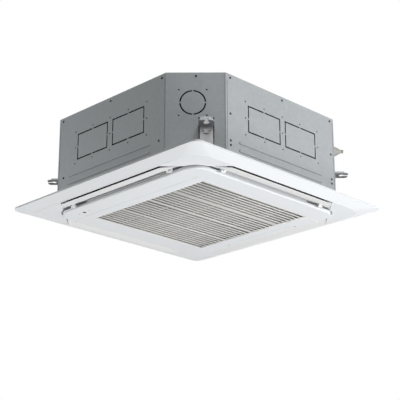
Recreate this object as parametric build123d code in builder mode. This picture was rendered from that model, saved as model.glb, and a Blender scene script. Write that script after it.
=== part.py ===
from build123d import *
from math import cos, radians, sin, sqrt
import os

# Ceiling cassette air conditioner, millimetres.
# The origin is the centre of the unit in the ceiling's lower surface: the panel hangs below z = 0 and
# the steel casing stands above it.  Left is -X, right is +X, front is -Y and back is +Y.

# ---- driving dimensions -------------------------------------------------------------------------
SHEET = 1.2                     # galvanised sheet of the casing
CASING_HALF = 420.0             # casing is 840 square
CASING_CUT = 141.0              # leg of each cut corner
CASING_BOTTOM = 18.5            # above the ceiling plane
CASING_HEIGHT = 288.0

PANEL_SIZE = 950.0
PANEL_CORNER = 30.0
RIM = 6.0                       # height of the panel's outer edge
FACE_Z = -20.0                  # flat part of the panel's face
FACE_SIZE = 856.0               # where the sloping border meets the flat face
FACE_CORNER = 78.0
CREASE = 1.4                    # width of the groove along that line
WALL = 3.0                      # moulded wall
FLOOR_Z = -10.0                 # floor of the recess that holds the grille and the vanes

GRILLE_HALF = 360.0
GRILLE_CORNER = 60.0
GRILLE_GAP = 7.0                # grille edge to panel
GRILLE_Z = -30.0                # lowest face of the unit
GRILLE_TOP = -19.0
GRILLE_EDGE = 4.0               # rounding of the grille's lower edge
SIDE_WALL = 2.5

SLOT_INNER = 357.0              # air slots, measured outwards from the centre
SLOT_OUTER = 423.5
SLOT_REACH = 677.0              # |x| + |y| along the slanted ends
DUCT_OUTER = 405.0              # straight duct above each slot
DUCT_HALF = 246.0
FLOOR_CUT = 420.0               # the recess floor is open past the duct, so the foam shows above the slot
LIP_Z, LIP_THICK = -18.4, 2.5   # upright lip between the grille and each vane
# each lip: its outer face, and where it starts and ends along the side
LIPS = {"right": (360.0, -246, 246), "back": (360.0, -246, 246), "left": (366.0, -180, 222),
        "front": (360.0, -246, 190)}

VANE_AXIS = 370.0               # pivot of each vane, outwards and upwards
VANE_AXIS_Z = -22.0
VANE_TILT = 10.0                # how far the vanes stand open at rest
VANE_WIDTH = 42.6
VANE_GAP = 4.2                  # |x| + |y| left free at the slanted ends
BOSS_R = 5.0
PIN_R = 2.5
RUNNING = 0.05                  # radial clearance of a pin in its bearing
BEARING_START = 248.5           # distance of a bearing from the middle of its vane
BEARING_WIDTH = 8.0

INTAKE_HALF = 292.0             # square opening behind the grille
LOUVRE_X = (-245.0, 291.0)      # open field of the grille, set off-centre
LOUVRE_HALF_Y = 275.0
RIB_YS = (132.0, -3.0, -134.0)  # three wide ribs of the louvre
RIB_WIDTH = 6.0
LOUVRE_PITCH = 19.0
LOUVRE_BAR = 7.5
LOUVRE_THICK = 1.5

HANGER_OUT = 31.5               # hanger hole, outwards from the cut corner
HANGER_SIDE = 33.9              # and sideways from its middle
HANGER_Z = 114.0
HANGER_R = 10.0
HANGER_SLIT = 12.0
HANGER_SHEET = 2.5
BRACKET_WIDTH = 43.5            # upright part, between two slots of the corner wall
TONGUE_WIDTH = 50.5
SLOT_WIDTH = 3.6

COIL_HALF = 300.0
COIL_THICK = 44.0
COIL_Z = (62.0, 282.0)
COIL_ROW = 11.0                 # each of two tube rows, either side of the middle
COIL_TUBES_Z, COIL_PITCH = 78.0, 25.0
COIL_TUBE_R = 3.6
PAN_TOP = 75.0

FAN_R = 215.0
FAN_BLADES = 7
MOTOR_R = 68.0
SHAFT_R = 6.0

DRAIN_Z = 220.0
NOZZLE_LENGTH = 46.0             # drain nozzle, out from the corner wall
NOZZLE_R = 6.5                   # its straight end takes a hose of 13 mm bore
NOZZLE_SEAT = 10.0
NOZZLE_BORE_R = 4.5
GAS_Z, LIQUID_Z = 236.0, 190.0
GAS_R, LIQUID_R = 7.94, 4.76    # copper pipes of 5/8 and 3/8 inch
GAS_THREAD_R, LIQUID_THREAD_R = 11.1, 7.94
UNION_LENGTH = 15.0

HINGE_X, HINGE_Z = -352.0, -20.0
HINGE_YS = (-150.0, 150.0)
LATCH_YS = (-170.0, 170.0)
LATCH_TRAVEL = 6.0
PANEL_SCREW = 325.0             # x and y of the four screws that hold the panel

# ---- derived places -----------------------------------------------------------------------------
ROOT2 = sqrt(2)
CASING_TOP = CASING_BOTTOM + CASING_HEIGHT
CASING_REACH = 2 * CASING_HALF - CASING_CUT
CORNER_FACE = CASING_REACH / ROOT2
CORNER_HALF = CASING_CUT / ROOT2
WALL_TOP = CASING_TOP - SHEET
SIDES = {"right": 0, "back": 90, "left": 180, "front": 270}
CORNERS = {"back_right": 45, "back_left": 135, "front_left": 225, "front_right": 315}
HAND = {45: 1, 135: -1, 225: 1, 315: -1}    # every hanger sits towards the front or back wall

# screws of each side wall and of each hanger bracket: sideways, height
TOP_SCREWS = [(-260, 293), (0, 293), (260, 293)]
SIDE_SCREWS = {side: TOP_SCREWS + [(s * 260, z) for s in (-1, 1) for z in (164, 69, 53)] for side in SIDES}
SIDE_SCREWS["left"] = TOP_SCREWS + [(-248, 72), (248, 72)]
BRACKET_SCREWS = [(s * x, z) for s in (-1, 1) for x, z in ((8, 139), (14, 40))]
SCREW_HEAD_R = 4.0
KNOCKOUT_SLIT = 5.0
SEAM = 1.6                      # narrow gap where two sheets meet
SMALL_HOLES = [(x, z) for x in (-187, 0, 187) for z in (110.5, 170.5, 231)]
SMALL_HOLES += [(x, z) for x in (-93.5, 93.5) for z in (110.5, 231)]
SCREW_HOLE_R = 2.1

os.makedirs("parts", exist_ok=True)


# ---- helpers ------------------------------------------------------------------------------------
def outward(angle):
    return Vector(cos(radians(angle)), sin(radians(angle)), 0)


def plan(angle, z=0.0):
    """Level plane whose x points outwards at this angle."""
    return Plane.XY.offset(z).rotated((0, 0, angle))


def section(angle, along=0.0):
    """Upright plane across a side: x outwards, y up."""
    sideways = outward(angle + 90)
    return Plane(origin=sideways * along, x_dir=outward(angle), z_dir=-sideways)


def face(angle, distance):
    """Upright plane that faces outwards at a distance: x sideways, y up."""
    return Plane(origin=outward(angle) * distance, x_dir=outward(angle + 90), z_dir=outward(angle))


def spot(angle, distance, sideways, z):
    """Plane at one point of a wall, facing outwards."""
    origin = outward(angle) * distance + outward(angle + 90) * sideways + Vector(0, 0, z)
    return Plane(origin=origin, x_dir=outward(angle + 90), z_dir=outward(angle))


def octagon(half, reach):
    """Corner points of a square of this half size, cut at |x| + |y| = reach."""
    short = reach - half
    return [(half, short), (short, half), (-short, half), (-half, short),
            (-half, -short), (-short, -half), (short, -half), (half, -short)]


def inset(distance):
    """Corner points of the casing's outline, drawn in by a distance."""
    return octagon(CASING_HALF - distance, CASING_REACH - distance * ROOT2)


def save(name, piece):
    piece.part.label = name
    export_step(piece.part, f"parts/{name}.step")


def screw(head_r, head_height, shank_r, length):
    """Round-headed screw on the Z axis, its head above z = 0."""
    with BuildPart() as one:
        with BuildSketch(Plane.XZ):
            with BuildLine():
                low, crown = (head_r, head_height * 0.4), (head_r * 0.7, head_height)
                Polyline((0, -length), (shank_r, -length), (shank_r, 0), (head_r, 0), low)
                ThreePointArc(low, (head_r * 0.91, head_height * 0.8), crown)
                Polyline(crown, (0, head_height), (0, -length))
            make_face()
        revolve(axis=Axis.Z)
    return one.part


# ---- casing -------------------------------------------------------------------------------------
def top_plate():
    """Flat lid with sunk stiffening beads and short flanges inside the walls."""
    bead_width, bead_depth, ring = 16.0, 3.0, 165.0
    with BuildPart() as lid:
        with BuildSketch(Plane.XY.offset(WALL_TOP)):
            Polygon(*inset(0), align=None)
        extrude(amount=SHEET)
        for angle in list(SIDES.values()) + list(CORNERS.values()):
            wall, length = (CASING_HALF, 530) if angle in SIDES.values() else (CORNER_FACE, 150)
            with BuildSketch(plan(angle, WALL_TOP)):
                with Locations((wall - 1.5 * SHEET, 0)):
                    Rectangle(SHEET, length)
            extrude(amount=-22)
        with BuildSketch(Plane.XY.offset(WALL_TOP)):
            with PolarLocations(300, 4, start_angle=45):
                SlotOverall(220, bead_width + 2 * SHEET)
            Circle(ring)
            Circle(ring - bead_width - 2 * SHEET, mode=Mode.SUBTRACT)
        extrude(amount=-bead_depth)
        with BuildSketch(Plane.XY.offset(CASING_TOP)):
            with PolarLocations(300, 4, start_angle=45):
                SlotOverall(220, bead_width)
            Circle(ring - SHEET)
            Circle(ring - SHEET - bead_width, mode=Mode.SUBTRACT)
        extrude(amount=-bead_depth, mode=Mode.SUBTRACT)
        for angle in SIDES.values():
            with BuildSketch(face(angle, CASING_HALF)):
                with Locations(*TOP_SCREWS):
                    Circle(SCREW_HOLE_R)
            extrude(amount=-4 * SHEET, mode=Mode.SUBTRACT)
        for angle in CORNERS.values():
            with BuildSketch(face(angle, CORNER_FACE)):
                with Locations((0, 293)):
                    Circle(SCREW_HOLE_R)
            extrude(amount=-4 * SHEET, mode=Mode.SUBTRACT)
    save("top_plate", lid)


def side_plate(side, angle):
    """Side wall: end flanges that turn round the corners, a foot flange, knock-outs, seams, holes and beads."""
    over = CASING_REACH + SHEET * ROOT2             # |x| + |y| on the outside of the lapping flanges
    flange, half_sheet = 2.0, SHEET / ROOT2
    outer_end = over - CASING_HALF
    inner_end = CASING_REACH - (CASING_HALF - SHEET)
    end = [(CASING_HALF, outer_end), (CASING_HALF - flange, outer_end + flange),
           (CASING_HALF - flange - half_sheet, outer_end + flange - half_sheet), (CASING_HALF - SHEET, inner_end)]
    width, height, slit, bridge = 163.0, 98.0, KNOCKOUT_SLIT, 5.0
    seam_at, seam_length = CASING_REACH - CASING_HALF - 4.5, 266.0
    with BuildPart() as plate:
        with BuildSketch(plan(angle, CASING_BOTTOM)):
            Polygon(*end, *[(x, -y) for x, y in reversed(end)], align=None)
        extrude(amount=WALL_TOP - CASING_BOTTOM)
        with BuildSketch(plan(angle, CASING_BOTTOM)):
            with Locations((CASING_HALF - 7, 0)):
                Rectangle(13, 520)
        extrude(amount=SHEET)
        with BuildSketch(face(angle, CASING_HALF)):
            with Locations((-8, 72), (-8, 44)):
                SlotOverall(424, 10)
        extrude(amount=2.4, taper=30)
        with BuildSketch(face(angle, CASING_HALF)):
            with Locations((-93.5, 171), (93.5, 171)):
                Rectangle(width, height)
                Rectangle(width - 2 * slit, height - 2 * slit, mode=Mode.SUBTRACT)
                Rectangle(bridge, height, mode=Mode.SUBTRACT)
                Rectangle(width, bridge, mode=Mode.SUBTRACT)
            with Locations((-seam_at, CASING_TOP / 2), (seam_at, CASING_TOP / 2)):
                Rectangle(SEAM, seam_length)
            with Locations(*SMALL_HOLES):
                Circle(2.8)
            with Locations(*SIDE_SCREWS[side]):
                Circle(SCREW_HOLE_R)
        extrude(amount=-1.5 * SHEET, mode=Mode.SUBTRACT)
    save(f"side_plate_{side}", plate)


def corner_plate(corner, angle):
    """Wall across a cut corner, with a foot for the panel screw and this corner's own cut-outs."""
    hand = HAND[angle]
    knock_x, knock_z, knock_r, bridge = -10.6 * hand, 198.5, 44.3, 4.5
    start, end = -(CORNER_HALF - 2 * SHEET), CORNER_HALF - 2 * ROOT2 - SEAM
    with BuildPart() as plate:
        with BuildSketch(plan(angle, CASING_BOTTOM)):
            with Locations((CORNER_FACE - SHEET / 2, (start + end) / 2)):
                Rectangle(SHEET, end - start)
        extrude(amount=WALL_TOP - CASING_BOTTOM)
        with BuildSketch(plan(angle, CASING_BOTTOM)):
            with Locations((CORNER_FACE - SHEET / 2 - 27, 0)):
                Rectangle(54, 90)
            with Locations((PANEL_SCREW * ROOT2, 0)):
                Circle(3.3, mode=Mode.SUBTRACT)
        extrude(amount=SHEET)
        with BuildSketch(face(angle, CORNER_FACE)):
            with Locations((0, 293), *[(hand * HANGER_SIDE + x, z) for x, z in BRACKET_SCREWS]):
                Circle(SCREW_HOLE_R)
            with Locations(*[(hand * HANGER_SIDE + s * (BRACKET_WIDTH + SLOT_WIDTH + 0.6) / 2, 84) for s in (-1, 1)]):
                Rectangle(SLOT_WIDTH, 124)
            if corner in ("front_left", "back_left"):
                with Locations((knock_x, knock_z)):
                    Circle(knock_r)
                    Circle(knock_r - KNOCKOUT_SLIT, mode=Mode.SUBTRACT)
                    Rectangle(bridge, 100, mode=Mode.SUBTRACT)
                    Rectangle(100, bridge, mode=Mode.SUBTRACT)
                with Locations(*[(knock_x + x, knock_z + y) for x in (-46, 46) for y in (-46, 46)]):
                    Circle(2.8)
            if corner == "front_right":
                with Locations((0, DRAIN_Z)):
                    Circle(19)
            if corner == "back_right":
                with Locations((0, (GAS_Z + LIQUID_Z) / 2)):
                    RectangleRounded(70, 100, 8)
            if corner == "back_left":
                with Locations((62, 262)):
                    Circle(12)
        extrude(amount=-1.5 * SHEET, mode=Mode.SUBTRACT)
    save(f"corner_plate_{corner}", plate)


def hanger_bracket(angle):
    """Pressed bracket: channel on the corner wall and a level tongue with a keyhole open at its tip."""
    middle = HAND[angle] * HANGER_SIDE
    top, foot, flange = 147.0, 22.0, 7.0
    low = HANGER_Z - HANGER_SHEET / 2
    root, tip = CORNER_FACE + HANGER_SHEET - 1, CORNER_FACE + HANGER_OUT + 23
    edges = [middle + side * (TONGUE_WIDTH - HANGER_SHEET) / 2 for side in (-1, 1)]
    with BuildPart() as bracket:
        with BuildSketch(face(angle, CORNER_FACE)) as upright:
            with Locations((middle, (top + foot) / 2)):
                Rectangle(BRACKET_WIDTH, top - foot)
            chamfer(upright.vertices().group_by(Axis.Y)[-1], length=6)
        extrude(amount=HANGER_SHEET)
        with BuildSketch(face(angle, root)):
            with Locations((middle, 98)):
                Rectangle(22, 6)
            with Locations((middle, 91)):
                Rectangle(14, 9)
        extrude(amount=flange)
        with BuildSketch(plan(angle, low)) as tongue:
            with Locations(((root + tip) / 2, middle)):
                Rectangle(tip - root, TONGUE_WIDTH)
            fillet(tongue.vertices().group_by(Axis.X)[-1], radius=12)
        extrude(amount=HANGER_SHEET)
        for edge in edges:
            with BuildSketch(section(angle, edge)):
                Polygon((root, low), (tip - 12, low), (tip - 16, low + flange), (root, low + flange), align=None)
            extrude(amount=HANGER_SHEET / 2, both=True)
        with BuildSketch(plan(angle, HANGER_Z)):
            with Locations((CORNER_FACE + HANGER_OUT, middle)):
                Circle(HANGER_R)
            with Locations((CORNER_FACE + HANGER_OUT + 15, middle)):
                Rectangle(30, HANGER_SLIT)
        extrude(amount=3, both=True, mode=Mode.SUBTRACT)
        with BuildSketch(face(angle, CORNER_FACE)):
            with Locations(*[(middle + x, z) for x, z in BRACKET_SCREWS]):
                Circle(SCREW_HOLE_R)
        extrude(amount=HANGER_SHEET, mode=Mode.SUBTRACT)
    return bracket.part


def hanger_brackets():
    with BuildPart() as brackets:
        for angle in CORNERS.values():
            add(hanger_bracket(angle))
    save("hanger_brackets", brackets)


def casing_screws():
    """Every sheet screw of the casing and of its hanger brackets, as separate solids."""
    planes = [spot(angle, CASING_HALF, *p) for side, angle in SIDES.items() for p in SIDE_SCREWS[side]]
    for angle in CORNERS.values():
        planes.append(spot(angle, CORNER_FACE, 0, 293))
        planes += [spot(angle, CORNER_FACE + HANGER_SHEET, HAND[angle] * HANGER_SIDE + x, z)
                   for x, z in BRACKET_SCREWS]
    one = screw(SCREW_HEAD_R, 2.2, 2.0, 8.0)
    with BuildPart() as screws:
        with Locations(*planes):
            add(one)
    save("casing_screws", screws)


def foam_liner():
    """Insulation inside the walls and under the lid, cut away at the motor, the drain, the pipes and the cable."""
    outside, thick, bottom, ceiling, top = 10.0, 8.0, PAN_TOP + 1, 284.0, 301.0
    with BuildPart() as liner:
        with BuildSketch(Plane.XY.offset(bottom)):
            Polygon(*inset(outside), align=None)
            Polygon(*inset(outside + thick), align=None, mode=Mode.SUBTRACT)
        extrude(amount=ceiling - bottom)
        with BuildSketch(Plane.XY.offset(ceiling)):
            Polygon(*inset(outside), align=None)
            Circle(112, mode=Mode.SUBTRACT)
        extrude(amount=top - ceiling)
        with BuildSketch(face(CORNERS["front_right"], CORNER_FACE)):
            with Locations((0, 164)):
                Rectangle(150, 176)
        extrude(amount=-60, mode=Mode.SUBTRACT)
        with BuildSketch(face(CORNERS["back_right"], CORNER_FACE)):
            with Locations((0, (GAS_Z + LIQUID_Z) / 2)):
                Rectangle(84, 116)
        extrude(amount=-60, mode=Mode.SUBTRACT)
        with BuildSketch(face(CORNERS["back_left"], CORNER_FACE)):
            with Locations((62, 262)):
                Circle(18)
        extrude(amount=-60, mode=Mode.SUBTRACT)
    save("foam_liner", liner)


# ---- heat exchanger and its pipes ---------------------------------------------------------------
def coil():
    """Ring of fins open at the pipe corner, an end plate at each open end, and the return bends on them."""
    low, high = COIL_Z
    inner = COIL_HALF - COIL_THICK
    end = COIL_HALF - 90
    with BuildPart() as fins:
        with BuildSketch(Plane.XY.offset(low)):
            RectangleRounded(2 * COIL_HALF, 2 * COIL_HALF, 60)
            RectangleRounded(2 * inner, 2 * inner, 16, mode=Mode.SUBTRACT)
            with Locations((end + 100, end + 100)):
                Rectangle(200, 200, mode=Mode.SUBTRACT)
        extrude(amount=high - low)
    save("coil_fins", fins)

    middle, thick = COIL_HALF - COIL_THICK / 2, 1.5
    with BuildPart() as plates:
        with BuildSketch(Plane.XY.offset(low)):
            with Locations((end + thick / 2, middle)):
                Rectangle(thick, COIL_THICK)
            with Locations((middle, end + thick / 2)):
                Rectangle(COIL_THICK, thick)
        extrude(amount=high - low)
    save("coil_end_plates", plates)

    # one row of each open end keeps its lowest and highest tube free for the pipes
    start, bend_r = end + thick, COIL_PITCH / 2
    inner_row, outer_row = middle - COIL_ROW, middle + COIL_ROW
    with BuildPart() as bends:
        for row, full_end in ((inner_row, "back"), (outer_row, "right")):
            for end_name in ("back", "right"):
                first, count = (0, 4) if end_name == full_end else (1, 3)
                for pair in range(count):
                    z = COIL_TUBES_Z + (2 * pair + first) * COIL_PITCH + bend_r
                    if end_name == "back":
                        place = Plane(origin=(start, row, z), x_dir=(0, 0, 1), z_dir=(0, 1, 0))
                    else:
                        place = Plane(origin=(row, start, z), x_dir=(0, 0, 1), z_dir=(-1, 0, 0))
                    with Locations(place):
                        Torus(bend_r, COIL_TUBE_R, major_angle=180, align=None)
    save("coil_return_bends", bends)


def tube(radius, start, end, mode=Mode.ADD):
    """Straight round rod between two points, added to or taken from the part being drawn."""
    with BuildSketch(Plane(origin=start, z_dir=end - start)) as disc:
        Circle(radius)
    extrude(disc.sketch, amount=(end - start).length, mode=mode)


def pipes():
    """Gas header and liquid distributor with their pipes out through the corner, and the plate they pass."""
    angle = CORNERS["back_right"]
    header, distributor, pipe_end = 352.0, 384.0, CORNER_FACE + 22.0
    open_end = COIL_HALF - 90 + 1.5
    feeds = (COIL_TUBES_Z, COIL_TUBES_Z + 7 * COIL_PITCH)
    row = COIL_HALF - COIL_THICK / 2

    def at(distance, z):
        return outward(angle) * distance + Vector(0, 0, z)

    with BuildPart() as gas:
        tube(9.5, at(header, 70), at(header, 262))
        tube(GAS_R, at(header, GAS_Z), at(pipe_end, GAS_Z))
        for z in feeds:
            start = Vector(row - COIL_ROW, open_end, z)
            with BuildLine():
                FilletPolyline(start, start + Vector(0, 16, 0), at(header, z), radius=12)
            with BuildSketch(Plane(origin=start, z_dir=(0, 1, 0))):
                Circle(COIL_TUBE_R)
            sweep()
        tube(GAS_R - 1, at(header + 20, GAS_Z), at(pipe_end + 1, GAS_Z), Mode.SUBTRACT)
    save("gas_pipe", gas)

    with BuildPart() as liquid:
        tube(11, at(distributor, LIQUID_Z), at(distributor + 18, LIQUID_Z))
        tube(LIQUID_R, at(distributor + 10, LIQUID_Z), at(pipe_end, LIQUID_Z))
        for z in feeds:
            tube(1.8, Vector(open_end, row + COIL_ROW, z), Vector(open_end + 8, row + COIL_ROW, z))
            tube(1.8, Vector(open_end + 7, row + COIL_ROW, z), at(distributor + 4, LIQUID_Z))
        tube(LIQUID_R - 1, at(distributor + 22, LIQUID_Z), at(pipe_end + 1, LIQUID_Z), Mode.SUBTRACT)
    save("liquid_pipe", liquid)

    ends = ((GAS_Z, GAS_R, GAS_THREAD_R, 13.5), (LIQUID_Z, LIQUID_R, LIQUID_THREAD_R, 9.8))
    with BuildPart() as unions:
        for z, pipe_r, thread_r, hexagon in ends:
            for start, length, bore in ((-6, 6, pipe_r), (0, 4, pipe_r - 1)):
                with BuildSketch(spot(angle, pipe_end + start, 0, z)):
                    RegularPolygon(hexagon, 6)
                    Circle(bore, mode=Mode.SUBTRACT)
                extrude(amount=length)
            with BuildSketch(spot(angle, pipe_end + 4, 0, z)):
                Circle(thread_r)
                Circle(pipe_r - 1, mode=Mode.SUBTRACT)
            extrude(amount=UNION_LENGTH)
    save("flare_unions", unions)

    with BuildPart() as plate:
        with BuildSketch(face(angle, CORNER_FACE)):
            with Locations((0, (GAS_Z + LIQUID_Z) / 2)):
                RectangleRounded(92, 122, 8)
            for z, radius, _, _ in ends:
                with Locations((0, z)):
                    Circle(radius + RUNNING, mode=Mode.SUBTRACT)
        extrude(amount=2)
    save("pipe_plate", plate)


# ---- drain --------------------------------------------------------------------------------------
SUMP_D, PUMP_SIDE, FLOAT_SIDE = 441.0, -34.0, 42.0
PUMP_TOP = 178.0


def drain_pan():
    """Foam tray under the coil: trough, pump sump, four air ducts and a middle opening for the fan's inlet."""
    angle = CORNERS["front_right"]
    trough, bottom, foot = 56.0, CASING_BOTTOM + 1.7, CASING_BOTTOM + 0.1
    with BuildPart() as pan:
        with BuildSketch(Plane.XY.offset(bottom)):
            Polygon(*inset(9), align=None)
        extrude(amount=PAN_TOP - bottom)
        with BuildSketch(Plane.XY.offset(foot)):
            Polygon(*octagon(405.5, 619), align=None)
        extrude(amount=bottom - foot)
        with BuildSketch(Plane.XY.offset(trough)):
            RectangleRounded(2 * COIL_HALF + 24, 2 * COIL_HALF + 24, 70)
            inner = COIL_HALF - COIL_THICK - 10
            RectangleRounded(2 * inner, 2 * inner, 20, mode=Mode.SUBTRACT)
        extrude(amount=PAN_TOP - trough, mode=Mode.SUBTRACT)
        with BuildSketch(plan(angle, trough - 6)):
            with Locations((SUMP_D, 5)):
                RectangleRounded(66, 148, 20)
        extrude(amount=PAN_TOP, mode=Mode.SUBTRACT)
        with BuildSketch(Plane.XY.offset(trough)):
            with PolarLocations(COIL_HALF - COIL_THICK / 2, 4):
                with GridLocations(0, 260, 1, 2):
                    Rectangle(COIL_THICK, 14)
        extrude(amount=COIL_Z[0] - trough)
        with BuildSketch(Plane.XY.offset(foot)):
            RectangleRounded(476, 476, 20)
        extrude(amount=PAN_TOP, mode=Mode.SUBTRACT)
        with BuildSketch(Plane.XY.offset(foot)):
            RectangleRounded(576, 576, 30)
        extrude(amount=38.5 - foot, mode=Mode.SUBTRACT)
        for side in SIDES.values():
            with BuildSketch(plan(side, foot)):
                with Locations(((SLOT_INNER + 400) / 2, 0)):
                    Rectangle(400 - SLOT_INNER, 2 * DUCT_HALF)
            extrude(amount=PAN_TOP, mode=Mode.SUBTRACT)
        with BuildSketch(Plane.XY.offset(foot)):
            with GridLocations(2 * PANEL_SCREW, 2 * PANEL_SCREW, 2, 2):
                Circle(6)
        extrude(amount=14, mode=Mode.SUBTRACT)
    save("drain_pan", pan)


def drain_pump():
    """Upright condensate pump in the sump: strainer, flange with its outlet, and motor."""
    angle = CORNERS["front_right"]
    with BuildPart() as pump:
        for radius, low, high in ((22, 54, 112), (28, 112, 130), (21, 130, PUMP_TOP)):
            with BuildSketch(plan(angle, low)):
                with Locations((SUMP_D, PUMP_SIDE)):
                    Circle(radius)
            extrude(amount=high - low)
        with BuildSketch(plan(angle, 112)):
            with Locations((SUMP_D, 0)):
                Circle(11)
            with Locations((SUMP_D, PUMP_SIDE / 2)):
                Rectangle(22, 30)
        extrude(amount=18)
        with BuildSketch(plan(angle, 130)):
            with Locations((SUMP_D, 0)):
                Circle(8)
        extrude(amount=14)
    save("drain_pump", pump)

    with BuildPart() as bracket:
        with BuildSketch(plan(angle, PUMP_TOP)):
            with Locations(((SUMP_D - 26 + CORNER_FACE - 4) / 2, 5)):
                Rectangle(CORNER_FACE - 4 - SUMP_D + 26, 130)
            with Locations((SUMP_D, 0)):
                Circle(13, mode=Mode.SUBTRACT)
        extrude(amount=2)
        with BuildSketch(face(angle, CORNER_FACE - 6)):
            with Locations((-42, PUMP_TOP + 15), (50, PUMP_TOP + 15)):
                Rectangle(36, 30)
        extrude(amount=2)
    save("pump_bracket", bracket)

    with BuildPart() as rod:
        for radius, low, high in ((2.4, 60, 150), (7, 60, 63), (9, 132, PUMP_TOP)):
            with BuildSketch(plan(angle, low)):
                with Locations((SUMP_D, FLOAT_SIDE)):
                    Circle(radius)
            extrude(amount=high - low)
    save("float_switch", rod)

    with BuildPart() as ball:
        with BuildSketch(section(angle, FLOAT_SIDE)):
            with Locations((SUMP_D, 75)):
                RectangleRounded(26, 22, 6)
            with Locations((SUMP_D - 10, 75)):
                Rectangle(20, 22, mode=Mode.SUBTRACT)
        revolve(axis=Axis(outward(angle) * SUMP_D + outward(angle + 90) * FLOAT_SIDE, (0, 0, 1)))
        with BuildSketch(plan(angle, 60)):
            with Locations((SUMP_D, FLOAT_SIDE)):
                Circle(2.4 + 0.3)
        extrude(amount=40, mode=Mode.SUBTRACT)
    save("float", ball)


def drain_outlet():
    """Hose from the pump up and over to the outlet, and the tapered nozzle that stands out of the corner."""
    angle = CORNERS["front_right"]
    out = outward(angle)
    hose_end = CORNER_FACE - 14
    with BuildPart() as hose:
        with BuildLine():
            FilletPolyline(out * SUMP_D + Vector(0, 0, 131), out * SUMP_D + Vector(0, 0, DRAIN_Z),
                           out * hose_end + Vector(0, 0, DRAIN_Z), radius=24)
        with BuildSketch(plan(angle, 131)):
            with Locations((SUMP_D, 0)):
                Circle(11)
                Circle(8, mode=Mode.SUBTRACT)
        sweep()
    save("drain_hose", hose)

    with BuildPart() as nozzle:
        with BuildSketch(section(angle)):
            with BuildLine():
                start, wall, tip = hose_end - 12, CORNER_FACE, CORNER_FACE + NOZZLE_LENGTH
                shoulder, waist = (wall + 3, 23.5), (tip - NOZZLE_SEAT, NOZZLE_R)
                Polyline((start, NOZZLE_BORE_R), (start, 8), (hose_end, 8), (hose_end, 18), (wall, 18), (wall, 28),
                         (wall + 3, 28), shoulder)
                ThreePointArc(shoulder, (wall + 19, 16), waist)
                Polyline(waist, (tip, NOZZLE_R), (tip, NOZZLE_BORE_R), (start, NOZZLE_BORE_R))
            make_face()
        revolve(axis=Axis((0, 0, 0), out))
    nozzle.part = nozzle.part.moved(Location((0, 0, DRAIN_Z)))
    save("drain_nozzle", nozzle)


# ---- fan ----------------------------------------------------------------------------------------
BELL_Z, BELL_THROAT, BELL_MOUTH_R, BELL_TOP = 36.0, 160.0, 205.0, 84.0
SHROUD_Z, BACK_Z = 80.0, 222.0


def polar(radius, degrees):
    return (radius * cos(radians(degrees)), radius * sin(radians(degrees)))


def bell_mouth():
    """Flared fan inlet on a square plate that closes the drain pan from below."""
    thick = 2.5
    with BuildPart() as bell:
        with BuildSketch(Plane.XY.offset(BELL_Z)):
            RectangleRounded(560, 560, 25)
            Circle(BELL_MOUTH_R, mode=Mode.SUBTRACT)
        extrude(amount=thick)
        with BuildSketch(Plane.XZ):
            with BuildLine():
                ThreePointArc((BELL_MOUTH_R, BELL_Z), (172, 50), (BELL_THROAT, BELL_TOP))
                Line((BELL_THROAT, BELL_TOP), (BELL_THROAT + thick, BELL_TOP))
                ThreePointArc((BELL_THROAT + thick, BELL_TOP), (174.5, 52), (BELL_MOUTH_R + 1, BELL_Z + thick))
                Line((BELL_MOUTH_R + 1, BELL_Z + thick), (BELL_MOUTH_R, BELL_Z))
            make_face()
        revolve(axis=Axis.Z)
    save("bell_mouth", bell)


def fan():
    """Turbo impeller: coned hub, back plate, backward-curved blades and shroud, on the motor's shaft."""
    with BuildSketch() as blade:
        with BuildLine():
            ThreePointArc(polar(118, 0), polar(170, 14), polar(212, 38))
            Line(polar(212, 38), polar(212, 39.2))
            ThreePointArc(polar(212, 39.2), polar(170, 15.8), polar(118, 2))
            Line(polar(118, 2), polar(118, 0))
        make_face()
    with BuildPart() as impeller:
        with BuildSketch(Plane.XY.offset(SHROUD_Z + 12)):
            with PolarLocations(0, FAN_BLADES):
                add(blade.sketch)
        extrude(amount=BACK_Z + 1 - SHROUD_Z - 12)
        with BuildSketch(Plane.XZ):
            with BuildLine():
                ThreePointArc((167, SHROUD_Z), (178, 97), (FAN_R + 1, 104))
                Polyline((FAN_R + 1, 104), (FAN_R + 1, SHROUD_Z), (167, SHROUD_Z))
            make_face()
        revolve(axis=Axis.Z, mode=Mode.SUBTRACT)
        with BuildSketch(Plane.XZ):
            with BuildLine():
                ThreePointArc((166, SHROUD_Z), (177, 98), (FAN_R, 105.3))
                Line((FAN_R, 105.3), (FAN_R, 102.8))
                ThreePointArc((FAN_R, 102.8), (179, 96), (168.5, SHROUD_Z))
                Line((168.5, SHROUD_Z), (166, SHROUD_Z))
            make_face()
            Polygon((SHAFT_R, 148), (62, 148), (96, BACK_Z), (FAN_R, BACK_Z), (FAN_R, BACK_Z + 3),
                    (93.5, BACK_Z + 3), (60, 151), (22, 151), (22, 160), (SHAFT_R, 160), align=None)
        revolve(axis=Axis.Z)
    save("fan_impeller", impeller)

    with BuildPart() as shaft:
        with BuildSketch(Plane.XY.offset(134)):
            Circle(SHAFT_R)
        extrude(amount=100)
    save("fan_shaft", shaft)

    with BuildPart() as nut:
        with BuildSketch(Plane.XY.offset(138)):
            RegularPolygon(11, 6)
            Circle(SHAFT_R, mode=Mode.SUBTRACT)
        extrude(amount=8)
        with BuildSketch(Plane.XY.offset(146)):
            Circle(18)
            Circle(SHAFT_R, mode=Mode.SUBTRACT)
        extrude(amount=2)
    save("fan_nut", nut)


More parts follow.
